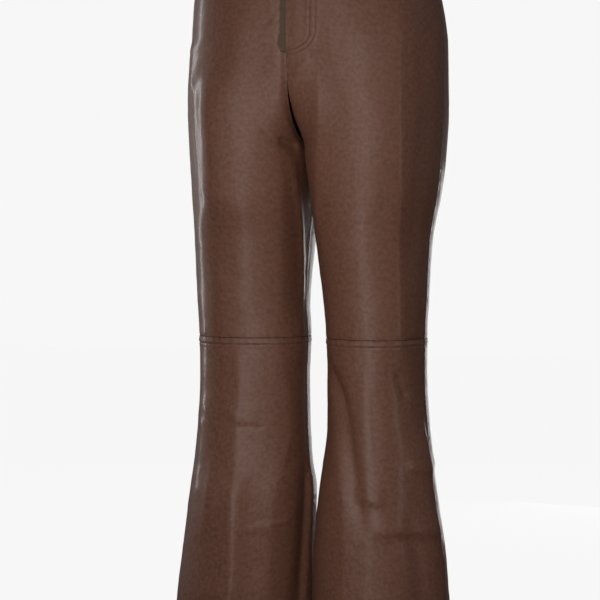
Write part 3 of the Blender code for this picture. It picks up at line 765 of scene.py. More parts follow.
def piece_grid(side, face, level):
    """Drop, across and depth of the face and of the back of a piece, as grids."""
    fly = (side, face, level) == ("left", "front", "upper")
    if level == "upper":
        outseam, inner, sag = upper_rows(side, face, fly)
        # One row more, tucked up inside the waistband, closes the waist seam.
        outseam, inner = np.append(outseam[0] - TUCK, outseam), np.append(inner[0] - TUCK, inner)
        sag = np.append(0, sag)
        depth = np.append(TUCK_DEPTH, np.zeros(len(inner) - 1))
        back_drop, back_depth = None, depth + CLOTH
    else:
        top = KNEE_DROP + SEAM_GAP / 2
        end = HEM_DROP - HEM_ROUND
        fine = [(row - ROW_MARGIN, row + ROW_MARGIN, ROW_CELL) for row in LOWER_ROWS.values()]
        leg = spread(top, end, CELL, near=(top, end), fine=fine)
        bend = np.linspace(0, math.pi, BEND_STEPS)[1:-1]
        up = spread(HEM_DROP - HEM_DEPTH, end, CELL)[::-1]
        inner = np.concatenate([leg, end + HEM_ROUND * np.sin(bend), up])
        depth = np.concatenate([0 * leg, HEM_ROUND * (1 - np.cos(bend)), 0 * up + 2 * HEM_ROUND])
        small = HEM_ROUND - CLOTH
        back_drop = np.concatenate([leg, end + small * np.sin(bend), up])
        back_depth = np.concatenate(
            [0 * leg + CLOTH, HEM_ROUND - small * np.cos(bend), 0 * up + HEM_ROUND + small]
        )
        outseam, sag = inner, 0 * inner
    last = section_length(side, face, inner) - TRIM
    across = np.maximum(column_places(last, float(last.mean()), fly), TRIM)
    share = (across - TRIM) / (last[:, None] - TRIM)
    drop = outseam[:, None] + (inner - outseam)[:, None] * share
    drop = drop + 4 * sag[:, None] * share**2 * (1 - share)
    back = drop if back_drop is None else np.broadcast_to(back_drop[:, None], drop.shape)
    return drop, across, depth[:, None], back, back_depth[:, None]


print("rows and columns of the fly's piece:", piece_grid("left", "front", "upper")[0].shape)

# %% Faces of a closed shell
def shell_faces(rows, columns, flip):
    """Face, back and border quads of a shell whose back points follow its face points."""
    count = rows * columns
    index = np.arange(count).reshape(rows, columns)
    a, b, c, d = index[:-1, :-1], index[:-1, 1:], index[1:, 1:], index[1:, :-1]
    face = np.stack([a, b, c, d], axis=-1).reshape(-1, 4)
    border = np.concatenate([index[0, :-1], index[:-1, -1], index[-1, :0:-1], index[:0:-1, 0]])
    following = np.roll(border, -1)
    edge = np.stack([following, border, border + count, following + count], axis=-1)
    quads = np.concatenate([face, edge, face[:, ::-1] + count])
    kind = np.concatenate([np.zeros(len(face) + len(edge), int), np.ones(len(face), int)])
    return (quads[:, ::-1] if flip else quads), kind


def make_mesh(name, points, quads, kind, flat=None, seam=None):
    """A mesh object from arrays in millimetres, with its UV map in metres on the flat piece."""
    mesh = bpy.data.meshes.new(name)
    mesh.vertices.add(len(points))
    mesh.vertices.foreach_set("co", (np.asarray(points) * MM).astype(np.float32).ravel())
    mesh.loops.add(quads.size)
    mesh.loops.foreach_set("vertex_index", quads.astype(np.int32).ravel())
    mesh.polygons.add(len(quads))
    mesh.polygons.foreach_set("loop_start", np.arange(0, quads.size, quads.shape[1], dtype=np.int32))
    mesh.polygons.foreach_set("material_index", kind.astype(np.int32))
    mesh.update(calc_edges=True)
    if flat is not None:
        chart = mesh.uv_layers.new(name="cut")
        chart.data.foreach_set("uv", (flat[quads.ravel()] * MM).astype(np.float32).ravel())
    # The seam attribute carries the painted shade along the seams.
    if seam is not None:
        held = mesh.attributes.new("seam", "FLOAT", "POINT")
        held.data.foreach_set("value", seam.astype(np.float32))
    mesh.shade_smooth()
    mesh.validate()
    made = bpy.data.objects.new(name, mesh)
    bpy.context.scene.collection.objects.link(made)
    return made


def tube_quads(rings, around, flip=False):
    """The points of closed rings by number, and the quads between each ring and the next."""
    index = np.arange(rings * around).reshape(rings, around)
    after = np.roll(index, -1, axis=1)
    quads = np.stack([index[:-1], after[:-1], after[1:], index[1:]], axis=-1).reshape(-1, 4)
    return index, np.roll(quads[:, ::-1], 1, axis=1) if flip else quads


def cap_quads(ring, flip):
    """Quads straight across a closed ring, from one half of it to the other."""
    half = len(ring) // 2
    left, right = ring[:half], ring[::-1][:half]
    quads = np.stack([left[:-1], left[1:], right[1:], right[:-1]], axis=-1)
    return quads[:, ::-1] if flip else quads


def mesh_of_faces(name, points, faces, material):
    """A smooth mesh object in one material, from points in millimetres and faces of any size."""
    mesh = bpy.data.meshes.new(name)
    mesh.from_pydata((points * MM).tolist(), [], faces)
    mesh.shade_smooth()
    mesh.materials.append(material)
    made = bpy.data.objects.new(name, mesh)
    bpy.context.scene.collection.objects.link(made)
    return made


SEAM_SHADE = 7.0
CLOSING_REACH = 2.5
CLOSING_END = 8


def close_centre_back(points, side, across, drop):
    """Draws an upper back's edge to the middle plane, where the seam lies in the seat's cleft.

    The cloth there was lowered along its own slanting normal, which opens the seam. The shift
    is the edge's own distance from the plane, times exp(-(distance to the edge / reach)^2)."""
    above = drop[:, -1] < CROTCH_DROP - CLOSING_END
    open_by = np.where(above, WAY[side] * points[:, -1, 0] - TRIM, 0)
    near = np.exp(-(((across[:, -1:] - across) / CLOSING_REACH) ** 2))
    points[..., 0] -= WAY[side] * open_by[:, None] * near


def make_piece(side, face, level, leather, knit):
    """One cut piece as a closed shell: film outside, knit inside."""
    drop, across, depth, back_drop, back_depth = piece_grid(side, face, level)
    lift, edge = relief(side, face, level, drop, across)
    points, normal = bare_cloth(side, face, drop, across)
    outer = points + (lift - depth)[..., None] * normal
    if level == "lower":
        points, normal = bare_cloth(side, face, np.ascontiguousarray(back_drop), across)
    inner = points + (lift - back_depth)[..., None] * normal
    if (face, level) == ("back", "upper"):
        close_centre_back(outer, side, across, drop)
        close_centre_back(inner, side, across, drop)
    rows, columns = drop.shape
    flip = (side == "left") != (face == "front")
    quads, kind = shell_faces(rows, columns, flip)
    both = np.concatenate([outer.reshape(-1, 3), inner.reshape(-1, 3)])
    flat = np.stack([WAY[side] * across, -drop], axis=-1).reshape(-1, 2)
    # Painted shade along the seams: 1 at a seam, gone SEAM_SHADE millimetres from it. The leather's colour
    # reads it.
    seam = (1 - ease(edge / SEAM_SHADE)).reshape(-1)
    name = f"{face}_{level}_{side}_cloth"
    made = make_mesh(name, both, quads, kind, np.tile(flat, (2, 1)), np.tile(seam, 2))
    made.data.materials.append(leather)
    made.data.materials.append(knit)
    print(name, rows, "x", columns, "points,", 2 * len(quads), "triangles")
    return made, drop, across

# %% [markdown]
# The materials. Faux leather is a polyurethane film with an embossed grain, laid on a knit: a
# satin surface with soft highlights that turn crisp at a grazing angle, because the film has a
# clear skin. Its back is a fine brown knit. Film and knit read each piece's own UV map, which
# is its flat cut in metres, so the grain lies on the cloth and runs through no seam. Thread,
# tape and brass are small and read the Object coordinates.

# %% Helpers for materials
def linear(code):
    """An sRGB hex code as a linear colour: the standard curve, channel by channel."""
    values = [int(code[place:place + 2], 16) / 255 for place in (1, 3, 5)]
    return tuple(v / 12.92 if v <= 0.04045 else ((v + 0.055) / 1.055) ** 2.4 for v in values) + (1,)


def add(tree, kind, settings=None, inputs=None):
    """Adds a node with its settings. An input takes a constant or another node's output."""
    made = tree.nodes.new(kind)
    for name, value in (settings or {}).items():
        setattr(made, name, value)
    for name, value in (inputs or {}).items():
        if isinstance(value, bpy.types.NodeSocket):
            tree.links.new(value, made.inputs[name])
        else:
            made.inputs[name].default_value = value
    return made


def new_material(name):
    """An empty node material with its shader and its output."""
    material = bpy.data.materials.new(name)
    material.use_nodes = True
    tree = material.node_tree
    tree.nodes.clear()
    shader = add(tree, "ShaderNodeBsdfPrincipled")
    add(tree, "ShaderNodeOutputMaterial", None, {"Surface": shader.outputs["BSDF"]})
    return material, tree, shader


# %% Polyurethane faux leather
# The embossed grain is about 0.5 mm on the real film. It is drawn 2.4 mm, to show at all.
GRAIN = 2.4
# Wavelength in millimetres, detail, roughness, and the lowest and highest value that is used.
LEATHER_NOISES = {
    "mottle": (19.0, 3.0, 0.6, 0.3, 0.7),
    "wrinkle": (5.5, 3.0, 0.55, 0.34, 0.66),
    "sheen": (9.0, 2.0, 0.5, 0.2, 0.8),
}


def faux_leather(name):
    """Brown polyurethane film: mottled, satin, with embossed grain and fine wrinkles, painted shade along
    the seams and a painted highlight on the wrinkles' high places.
    """
    material, tree, shader = new_material(name)
    chart = add(tree, "ShaderNodeUVMap", {"uv_map": "cut"}).outputs["UV"]
    height, share = {}, {}
    for use, (wavelength, detail, roughness, low, high) in LEATHER_NOISES.items():
        height[use] = add(tree, "ShaderNodeTexNoise", None, {
            "Vector": chart, "Scale": 1 / (wavelength * MM), "Detail": detail, "Roughness": roughness,
        }).outputs["Fac"]
        share[use] = add(tree, "ShaderNodeMapRange", None, {
            "Value": height[use], "From Min": low, "From Max": high,
        }).outputs["Result"]
    # Painted shade: the colour is darker along the seams, where the cloth rolls into a groove.
    seam = add(tree, "ShaderNodeAttribute", {"attribute_name": "seam"}).outputs["Fac"]
    painted_seam_shade = add(tree, "ShaderNodeMath", {"operation": "MULTIPLY"}, {0: seam, 1: 0.35}).outputs[0]
    colour = linear("#5a3525")
    # Painted highlight: the last layer colours the wrinkles' high places lighter, in step with their bump.
    for amount, code in ((share["mottle"], "#643c2a"), (painted_seam_shade, "#4c2b1c"), (share["wrinkle"], "#6e4735")):
        layer = add(tree, "ShaderNodeMix", {"data_type": "RGBA"}, {0: amount, 6: colour, 7: linear(code)})
        colour = layer.outputs[2]
    cells = add(tree, "ShaderNodeTexVoronoi", {"feature": "SMOOTH_F1"}, {
        "Vector": chart, "Scale": 1 / (GRAIN * MM), "Smoothness": 0.6,
    }).outputs["Distance"]
    deep = add(tree, "ShaderNodeBump", None, {
        "Strength": 1.0, "Distance": 0.0003, "Height": height["wrinkle"],
    })
    grain = add(tree, "ShaderNodeBump", None, {
        "Strength": 1.0, "Distance": 0.00012, "Height": cells, "Normal": deep.outputs["Normal"],
    })
    dull = add(tree, "ShaderNodeMapRange", None, {"Value": share["sheen"], "To Min": 0.66, "To Max": 0.74})
    tree.links.new(colour, shader.inputs["Base Color"])
    tree.links.new(dull.outputs["Result"], shader.inputs["Roughness"])
    tree.links.new(grain.outputs["Normal"], shader.inputs["Normal"])
    # A clear skin over the film: a faint second gloss, sharper than the film's own.
    shader.inputs["IOR"].default_value = 1.5
    shader.inputs["Coat Weight"].default_value = 0.2
    shader.inputs["Coat Roughness"].default_value = 0.22
    return material


print("leather noises:", len(LEATHER_NOISES), "grain:", GRAIN, "mm")

# %% Knit backing, thread, zip tape, brass
# Real wales are finer. They are drawn 1.6 mm apart, to show at all.
KNIT_STITCH = 1.6


def knit_backing(name):
    """The film's back: a fine polyester knit, dark and matt, so the inside stays quiet."""
    material, tree, shader = new_material(name)
    chart = add(tree, "ShaderNodeUVMap", {"uv_map": "cut"}).outputs["UV"]
    wales = add(tree, "ShaderNodeTexWave", {"wave_type": "BANDS", "bands_direction": "X"}, {
        "Vector": chart, "Scale": 2 / math.tau / (KNIT_STITCH * MM), "Distortion": 2.0, "Detail": 1.0,
    }).outputs["Fac"]
    colour = add(tree, "ShaderNodeMix", {"data_type": "RGBA"}, {
        0: wales, 6: linear("#33241d"), 7: linear("#45342b"),
    })
    bump = add(tree, "ShaderNodeBump", None, {"Distance": 0.0003, "Height": wales})
    tree.links.new(colour.outputs[2], shader.inputs["Base Color"])
    tree.links.new(bump.outputs["Normal"], shader.inputs["Normal"])
    shader.inputs["Roughness"].default_value = 0.9
    shader.inputs["Sheen Weight"].default_value = 0.2
    return material


def plain(name, code, roughness, metallic, bump_length, bump_height, second):
    """A turned or spun surface: two near colours and a fine bump on Object coordinates."""
    material, tree, shader = new_material(name)
    chart = add(tree, "ShaderNodeTexCoord").outputs["Object"]
    fleck = add(tree, "ShaderNodeTexNoise", None, {
        "Vector": chart, "Scale": 1 / (bump_length * MM), "Detail": 3.0, "Roughness": 0.5,
    }).outputs["Fac"]
    share = add(tree, "ShaderNodeMapRange", None, {"Value": fleck, "From Min": 0.35, "From Max": 0.65})
    colour = add(tree, "ShaderNodeMix", {"data_type": "RGBA"}, {
        0: share.outputs["Result"], 6: linear(code), 7: linear(second),
    })
    bump = add(tree, "ShaderNodeBump", None, {"Distance": bump_height, "Height": fleck})
    tree.links.new(colour.outputs[2], shader.inputs["Base Color"])
    tree.links.new(bump.outputs["Normal"], shader.inputs["Normal"])
    shader.inputs["Roughness"].default_value = roughness
    shader.inputs["Metallic"].default_value = metallic
    return material


leather = faux_leather("polyurethane_faux_leather")
knit = knit_backing("polyester_knit_backing")
# To the eye: a soft, slightly lighter line of thread, a flat dull tape, and brass with a dark
# golden gleam that its rubbed plating breaks up.
thread = plain("spun_polyester_thread", "#553a2d", 0.55, 0.0, 0.6, 0.0001, "#6a4b3c")
tape = plain("woven_polyester_tape", "#4c3a2c", 0.85, 0.0, 0.9, 0.0002, "#584534")
brass = plain("antique_brass_plating", "#8a6a3c", 0.34, 1.0, 2.5, 0.00003, "#6f5430")
print("materials:", ", ".join(m.name for m in bpy.data.materials if m.users or m.use_nodes))

# %% [markdown]
# The eight cut pieces. Each half is cut as a front and a back, and the knee seam parts the
# thigh from the flared shin. Making them in a loop keeps every piece to one pattern.

# %% The cut pieces
pieces = {}
for side in ("left", "right"):
    for face in ("front", "back"):
        for level in ("upper", "lower"):
            pieces[face, level, side] = make_piece(side, face, level, leather, knit)

# %% [markdown]
# The waistband is one strip, folded double along its top edge. Its left end laps over its right
# end at the centre front, where the button sits. It is a flat, round-edged profile carried
# round the waist, and it steps inwards where it goes under the lap. It is finished plainly, with
# no loops and no lining.

# %% The waistband
LAP_EDGE_X = 0.5
LAP_LENGTH = 36.0
LAP_BLEND = 14.0
BAND_EDGE = 1.3
# A sunk row along the lower edge, and a ripple that the waist seam leaves.
BAND_ROW = 3.5
BAND_ROW_DEPTH = 0.45
BAND_ROW_WIDTH = 1.0
BAND_RIPPLE = 0.25
BAND_RIPPLE_SEED = 41
BAND_RIPPLE_REACH = 14
BAND_LENGTH = 800.0
BAND_CHART_STEP = 60
BAND_CELL = 3.0
BAND_STATION = 2.6
BAND_BACK_STEPS = 12
QUARTER_STEPS = 241
RING_STEP = 2
END_THIN = 0.05


def ring_section(drop):
    """The waist's section at a drop, closed: from the lap's edge round to the lap's edge."""
    runs = []
    for side, face in (("left", "front"), ("left", "back"), ("right", "back"), ("right", "front")):
        x, y = section_place(side, face, np.array([[drop]]), np.linspace(0, 2, QUARTER_STEPS)[None, :])
        run = np.stack([WAY[side] * x[0], y[0]], axis=-1)
        runs.append(run[::-1] if (side, face) in (("left", "front"), ("right", "back")) else run)
    loop = np.concatenate([runs[0], runs[1][1:], runs[2], runs[3][1:]])
    hidden = (loop[:, 1] < 0) & (loop[:, 0] < LAP_EDGE_X) & (loop[:, 0] > -FLY_SLOT - 1)
    loop = loop[~hidden]
    edge = np.array([[LAP_EDGE_X, loop[0, 1]]])
    return np.concatenate([edge, loop, edge])


def band_profile():
    """The strip's profile: (drop, share of its thickness from the outer face), once round."""
    half = np.linspace(0, math.pi, BEND_STEPS)[1:-1]
    low, high = BAND_EDGE, BAND_HEIGHT - SEAM_GAP / 2 - BAND_EDGE
    stretches = ((high - BAND_ROW - 2, high, 0.6), (low, low + 5, 0.8))
    down = spread(low, high, BAND_CELL * COARSE, fine=stretches)
    up = np.linspace(high, low, BAND_BACK_STEPS)
    bulge = BAND_EDGE * np.sin(half)
    drop = np.concatenate([down, high + bulge, up, low - bulge])
    deep = np.concatenate([0 * down, (1 - np.cos(half)) / 2, 0 * up + 1, (1 + np.cos(half)) / 2])
    return drop, deep


def band_station_places(whole):
    """Places along the strip in millimetres, closer at both ends and at the lap's edge."""
    end = whole + LAP_LENGTH
    lap = (whole - RING_STEP, whole + RING_STEP, 0.8)
    return spread(0, end, BAND_STATION * COARSE, near=(0, end), fine=(lap,))


def make_waistband():
    """The strip as a closed loft: each profile point follows its own level's ring."""
    drops, deep = band_profile()
    places = band_station_places(BAND_LENGTH)
    columns, charts = [], []
    for drop, share in zip(drops, deep):
        loop = ring_section(np.clip(drop, 0, BAND_HEIGHT))
        length = length_along(loop)
        whole = length[-1]
        place = places * (whole + LAP_LENGTH) / places[-1]

        def ring(at):
            """The ring's point at a length along it."""
            around = np.where(at == whole, whole, np.mod(at, whole))
            return np.stack([np.interp(around, length, loop[:, k]) for k in (0, 1)], axis=-1)

        over = ring(place + RING_STEP) - ring(place - RING_STEP)
        over /= np.linalg.norm(over, axis=1, keepdims=True)
        normal = np.stack([over[:, 1], -over[:, 0]], axis=-1)
        under = ease((place - (whole - LAP_BLEND - 1)) / LAP_BLEND)
        lift = BAND_PROUD - under * (BAND_THICKNESS + SEAM_GAP)
        row = BAND_ROW_DEPTH * np.exp(-(((drop - (BAND_HEIGHT - BAND_ROW)) / BAND_ROW_WIDTH) ** 2))
        fade = np.exp(-(((drop - BAND_HEIGHT) / BAND_RIPPLE_REACH) ** 2))
        ripple = BAND_RIPPLE * waver(place, BAND_RIPPLE_SEED) * fade
        end = np.minimum(place, place[-1] - place)
        thin = np.sqrt(np.clip(1 - (1 - np.clip(end / BAND_EDGE, 0, 1)) ** 2, END_THIN, 1))
        depth = BAND_THICKNESS * (0.5 + (share - 0.5) * thin)
        relief_here = (ripple - row) * (share == 0)
        outer = ring(place) + (lift - depth + relief_here)[:, None] * normal
        columns.append(np.concatenate([outer, np.full((len(place), 1), BAND_HEIGHT / 2 - drop)], axis=-1))
        charts.append(np.stack([place, np.full_like(place, -drop - BAND_CHART_STEP * share)], axis=-1))
    points = np.stack(columns, axis=1)
    flat = np.stack(charts, axis=1)
    stations, around = points.shape[:2]
    index, quads = tube_quads(stations, around, flip=True)
    quads = np.concatenate([quads, cap_quads(index[0], False), cap_quads(index[-1], True)])
    made = make_mesh(
        "waistband_cloth", points.reshape(-1, 3), quads, np.zeros(len(quads), int),
        flat.reshape(-1, 2), np.zeros(stations * around),
    )
    made.data.materials.append(leather)
    print("waistband:", stations, "stations of", around, "points,", round(places[-1]), "mm long")
    return made


band = make_waistband()

# %% [markdown]
# The zip. Its tape shows in the slot beside the fly's edge. A zip is two woven tapes with a row
# of teeth each, which a slider locks into one chain. From inside the chain and the slider show.

# %% The zip
ZIP_HALF_WIDTH = 14.0
ZIP_TAPE = 0.8
ZIP_CHAIN_X = 5.0
TOOTH_PITCH = 2.0
TOOTH = (3.6, 1.3, 0.8, 0.7)
TOOTH_OFFSET = 0.9
TEETH_MARGIN = 3
TAPE_START = 0.5
TAPE_GRID = (68, 34)
TAPE_RIPPLE = 0.06
TAPE_RIPPLE_LENGTH = 7.3
CHAIN_THICKNESS = 1.6
SLIDER_TOP_DROP = 47.0
SLIDER_LENGTH = 10.0
SLIDER_HALF_WIDTH = 4.6
SLIDER_POWER = 4.0
SLIDER_SIDES = 48
# share of the plate's size, depth behind its seat
SLIDER_RINGS = ((0.75, 0.05), (0.95, 0.25), (1.0, 0.6), (0.95, 1.0), (0.5, 1.2))
TAPE_END_DROP = FLY_END_DROP + 12
TAPE_CLEARANCE = 0.15
SEAT_STEPS = 14
FRONT_STEPS = 400


def centre_front_y(x, drop):
    """The y of the smooth front at an x near the centre, for one drop."""
    side = "left" if x > 0 else "right"
    turn = np.linspace(1, 2, FRONT_STEPS)[None, :]
    places, ys = section_place(side, "front", np.array([[drop]]), turn)
    return float(np.interp(abs(x), places[0, ::-1], ys[0, ::-1]))


def zip_seat(drop):
    """The y of the tape's outer face: level across, just behind the fronts' cloth."""
    nearest = max(centre_front_y(x, drop) for x in (-ZIP_HALF_WIDTH, -FLY_SLOT, 0.0, ZIP_HALF_WIDTH))
    return nearest + CLOTH + TAPE_CLEARANCE


SEAT_DROPS = np.linspace(FLY_TOP_DROP, TAPE_END_DROP, SEAT_STEPS)
SEATS = np.array([zip_seat(drop) for drop in SEAT_DROPS])


def seat_at(drop):
    """The tape's y at any drops, between the seats worked out once."""
    return np.interp(drop, SEAT_DROPS, SEATS)


def make_tape():
    """The woven tape: a thin plate with a faint ripple down its length."""
    drop, x = np.meshgrid(
        np.linspace(FLY_TOP_DROP + TAPE_START, TAPE_END_DROP, TAPE_GRID[0]),
        np.linspace(-ZIP_HALF_WIDTH, ZIP_HALF_WIDTH, TAPE_GRID[1]), indexing="ij",
    )
    ripple = TAPE_RIPPLE * np.sin(math.tau * drop / TAPE_RIPPLE_LENGTH) * np.cos(x)
    face = np.stack([x, seat_at(drop) + ripple, BAND_HEIGHT / 2 - drop], axis=-1)
    back = face + (0, ZIP_TAPE, 0)
    quads, kind = shell_faces(*drop.shape, flip=True)
    points = np.concatenate([face.reshape(-1, 3), back.reshape(-1, 3)])
    made = make_mesh("zip_tape_cloth", points, quads, 0 * kind)
    made.data.materials.append(tape)
    return made


def copies(shape_points, shape_faces, places, axes):
    """One mesh's worth of copies of a small shape: each point is place + coordinates x axes."""
    points = places[:, None, :] + np.einsum("sk,nkj->nsj", shape_points, axes)
    offset = (np.arange(len(places)) * len(shape_points))[:, None, None]
    return points.reshape(-1, 3), (shape_faces[None] + offset).reshape(-1, shape_faces.shape[1])


def box_shape(width, depth, tall, taper):
    """A block of eight points whose far face is narrower, and its six quads facing outwards."""
    sign = np.array([[x, y, z] for x in (-1, 1) for y in (-1, 1) for z in (-1, 1)], float)
    points = sign * (width / 2, depth / 2, tall / 2)
    points[sign[:, 1] > 0] *= (taper, 1, taper)
    faces = np.array([
        (0, 1, 3, 2), (4, 6, 7, 5), (0, 4, 5, 1), (2, 3, 7, 6), (0, 2, 6, 4), (1, 5, 7, 3),
    ])
    return points, faces


def make_teeth():
    """Two interlocked rows of moulded teeth on the tape's inner face, TOOTH_PITCH apart."""
    drops = np.arange(FLY_TOP_DROP + TEETH_MARGIN, FLY_END_DROP - TEETH_MARGIN, TOOTH_PITCH / 2)
    side = np.where(np.arange(len(drops)) % 2 == 0, -1, 1)
    places = np.stack([
        ZIP_CHAIN_X + TOOTH_OFFSET * side, seat_at(drops) + ZIP_TAPE + TOOTH[1] / 2,
        BAND_HEIGHT / 2 - drops,
    ], axis=-1)
    shape, faces = box_shape(*TOOTH)
    axes = np.broadcast_to(np.eye(3), (len(drops), 3, 3))
    points, quads = copies(shape, faces, places, axes)
    made = make_mesh("zip_teeth", points, quads, np.zeros(len(quads), int))
    made.data.materials.append(brass)
    print("zip teeth:", len(drops))
    return made


def make_slider():
    """The slider's back plate: rings |x|^4 + |z|^4 = 1, each with its own size and depth."""
    angle = np.linspace(0, math.tau, SLIDER_SIDES, endpoint=False)
    across, up = corner(angle, SLIDER_POWER)
    drop = SLIDER_TOP_DROP + SLIDER_LENGTH / 2
    seat = float(seat_at(drop)) + ZIP_TAPE + CHAIN_THICKNESS + SEAM_GAP
    points = np.concatenate([
        np.stack([
            ZIP_CHAIN_X + SLIDER_HALF_WIDTH * radius * across, np.full_like(angle, seat + deep),
            BAND_HEIGHT / 2 - drop + SLIDER_LENGTH / 2 * radius * up,
        ], axis=-1) for radius, deep in SLIDER_RINGS
    ])
    index, quads = tube_quads(len(SLIDER_RINGS), len(angle))
    quads = np.concatenate([quads, cap_quads(index[0], True), cap_quads(index[-1], False)])
    made = make_mesh("zip_slider_plate", points, quads, np.zeros(len(quads), int))
    made.data.materials.append(brass)
    return made


zip_tape, zip_teeth, zip_slider = make_tape(), make_teeth(), make_slider()

# %% [markdown]
# The button, a plain turned disc: a profile turned once round its axis, then set square to the
# lap it sits on.

# %% The button
BUTTON_X = 14.0
BUTTON_RADIUS = 8.5
BUTTON_PROFILE = (
    # radius, height over the lap
    (0.0, 0.0), (7.6, 0.0), (8.2, 0.35), (8.5, 0.9), (8.5, 1.9), (8.25, 2.55), (7.8, 2.9), (7.2, 3.0),
    (6.7, 2.85), (6.4, 2.5), (6.0, 2.3), (4.0, 2.36), (2.0, 2.45), (0.0, 2.5),
)
BUTTON_SIDES = 72


def make_button():
    """The profile turned about its axis: (r cos a, r sin a, h), tilted to the waistband."""
    angle = np.linspace(0, math.tau, BUTTON_SIDES, endpoint=False)
    rings = np.array(BUTTON_PROFILE[1:-1])
    local = np.stack([
        rings[:, :1] * np.cos(angle), rings[:, :1] * np.sin(angle),
        np.broadcast_to(rings[:, 1:], (len(rings), BUTTON_SIDES)),
    ], axis=-1).reshape(-1, 3)
    local = np.concatenate([local, [(0, 0, BUTTON_PROFILE[0][1]), (0, 0, BUTTON_PROFILE[-1][1])]])
    drop = BAND_HEIGHT / 2
    right, left = BUTTON_X - BUTTON_RADIUS, BUTTON_X + BUTTON_RADIUS
    yaw = math.atan2(centre_front_y(left, drop) - centre_front_y(right, drop), left - right)
    rise = centre_front_y(BUTTON_X, drop - BUTTON_RADIUS) - centre_front_y(BUTTON_X, drop + BUTTON_RADIUS)
    pitch = math.atan2(rise, 2 * BUTTON_RADIUS)
    turn = np.array(Matrix.Rotation(yaw, 3, "Z") @ Matrix.Rotation(math.pi / 2 - pitch, 3, "X"))
    seat = centre_front_y(BUTTON_X, drop) - BAND_PROUD - SEAM_GAP
    points = local @ turn.T + (BUTTON_X, seat, 0)
    index, quads = tube_quads(len(rings), BUTTON_SIDES)
    first, last = index[0], index[-1]
    fans = np.concatenate([
        np.stack([np.roll(first, -1), first, np.full_like(first, len(points) - 2)], axis=-1),
        np.stack([last, np.roll(last, -1), np.full_like(last, len(points) - 1)], axis=-1),
    ])
    faces = quads.tolist() + fans.tolist()
    return mesh_of_faces("button_disc", points, faces, brass)


button = make_button()
print("button:", len(button.data.polygons), "faces")

# %% [markdown]
# The thread. Each stitch is a small bead that lies in its row's groove, so the rows catch the
# light as real sewing does. Lockstitches on faux leather are about 3 mm long.

# %% The thread
STITCH_PITCH = 3.3
STITCH_LENGTH = 2.7
STITCH_RADIUS = 0.3
STITCH_SEAT = 0.05
STITCH_SIDES = 5
# place as a share of the length; width and dip as shares of the radius
STITCH_STATIONS = ((-0.5, 0.45, -0.35), (-0.28, 1.0, 0.1), (0.28, 1.0, 0.1), (0.5, 0.45, -0.35))
DIRECTION_STEP = 0.8


def bead_shape():
    """A stitch: a five-sided rod along its first axis that narrows and dips at both ends."""
    angle = np.linspace(0, math.tau, STITCH_SIDES, endpoint=False)
    rings = [
        np.stack([
            np.full(STITCH_SIDES, place * STITCH_LENGTH), STITCH_RADIUS * wide * np.cos(angle),
            STITCH_RADIUS * (wide * np.sin(angle) + dip),
        ], axis=-1) for place, wide, dip in STITCH_STATIONS
    ]
    quads = tube_quads(len(STITCH_STATIONS), STITCH_SIDES)[1]
    ends = np.array([(0, 4, 3, 2), (0, 2, 1, 0), (15, 16, 17, 18), (15, 18, 19, 15)])
    return np.concatenate(rings), np.concatenate([quads, ends])


def stitches_on(points, normals):
    """The beads' places and axes along a run of points: along it, across it, and outwards."""
    length = length_along(points)
    count = int(length[-1] / STITCH_PITCH)
    place = (np.arange(count) + 0.5) * length[-1] / count

    def at(values, where):
        """The run's values at lengths along it."""
        return np.stack([np.interp(where, length, values[:, k]) for k in range(3)], axis=-1)

    way = at(points, place + DIRECTION_STEP) - at(points, place - DIRECTION_STEP)
    way /= np.linalg.norm(way, axis=1, keepdims=True)
    up = at(normals, place)
    beside = np.cross(up, way)
    beside /= np.linalg.norm(beside, axis=1, keepdims=True)
    up = np.cross(way, beside)
    return at(points, place) + STITCH_SEAT * up, np.stack([way, beside, up], axis=1)


def cloth_run(side, face, level, path):
    """A path on a piece as points on its relief and their normals."""
    across, drop = path[:, 0], path[:, 1]
    lift = relief(side, face, level, drop, across)[0]
    points, normal = bare_cloth(side, face, drop, across)
    return points + lift[:, None] * normal, normal


def make_stitches(name, runs):
    """All the beads of some runs as one mesh."""
    shape, faces = bead_shape()
    parts = [stitches_on(points, normals) for points, normals in runs]
    places = np.concatenate([part[0] for part in parts])
    axes = np.concatenate([part[1] for part in parts])
    points, quads = copies(shape, faces, places, axes)
    loops = [tuple(dict.fromkeys(quad)) for quad in quads.tolist()]
    print(name, len(places), "stitches")
    return mesh_of_faces(name, points, loops, thread)


sewing = [make_stitches("fly_stitching", [cloth_run("left", "front", "upper", j_path(k)) for k in (0, 1)])]
for side in ("left", "right"):
    for name, drop in LOWER_ROWS.items():
        runs = [cloth_run(side, face, "lower", level_path(side, face, drop)) for face in ("front", "back")]
        sewing.append(make_stitches(f"{name}_stitching_{side}", runs))

# %% [markdown]
# The studio. Satin film is shaped by what it mirrors, so the lamps are placed for their
# reflections. Three of growing size hang close in front, a little left of the camera, and
# together make highlights with soft edges. A large one fills from behind the camera and a tall one lights
# the right side. A narrow upright strip at the left and a low lamp at the right, both behind,
# draw the bright lines where the film turns away. One more lights the back. The floor and the
# backdrop show pale to the camera alone. The floor gives the cloth almost no light back and the
# room a seventh of what it seems to, so the lamps draw the sheen.

# %% Camera
AZIMUTH = math.radians(20)
ELEVATION = math.radians(2)
FRAME_PIXELS = 600
MM_PER_PIXEL = 1.34
SENSOR = 36.0
LENS = 100.0
MIDDLE_PIXEL = 317
TARGET_DROP = 495.8



def direction(heading, rise):
    """The way outwards at a heading, from the front towards the wearer's left, and a rise."""
    flat = math.cos(rise)
    return Vector((math.sin(heading) * flat, -math.cos(heading) * flat, math.sin(rise)))


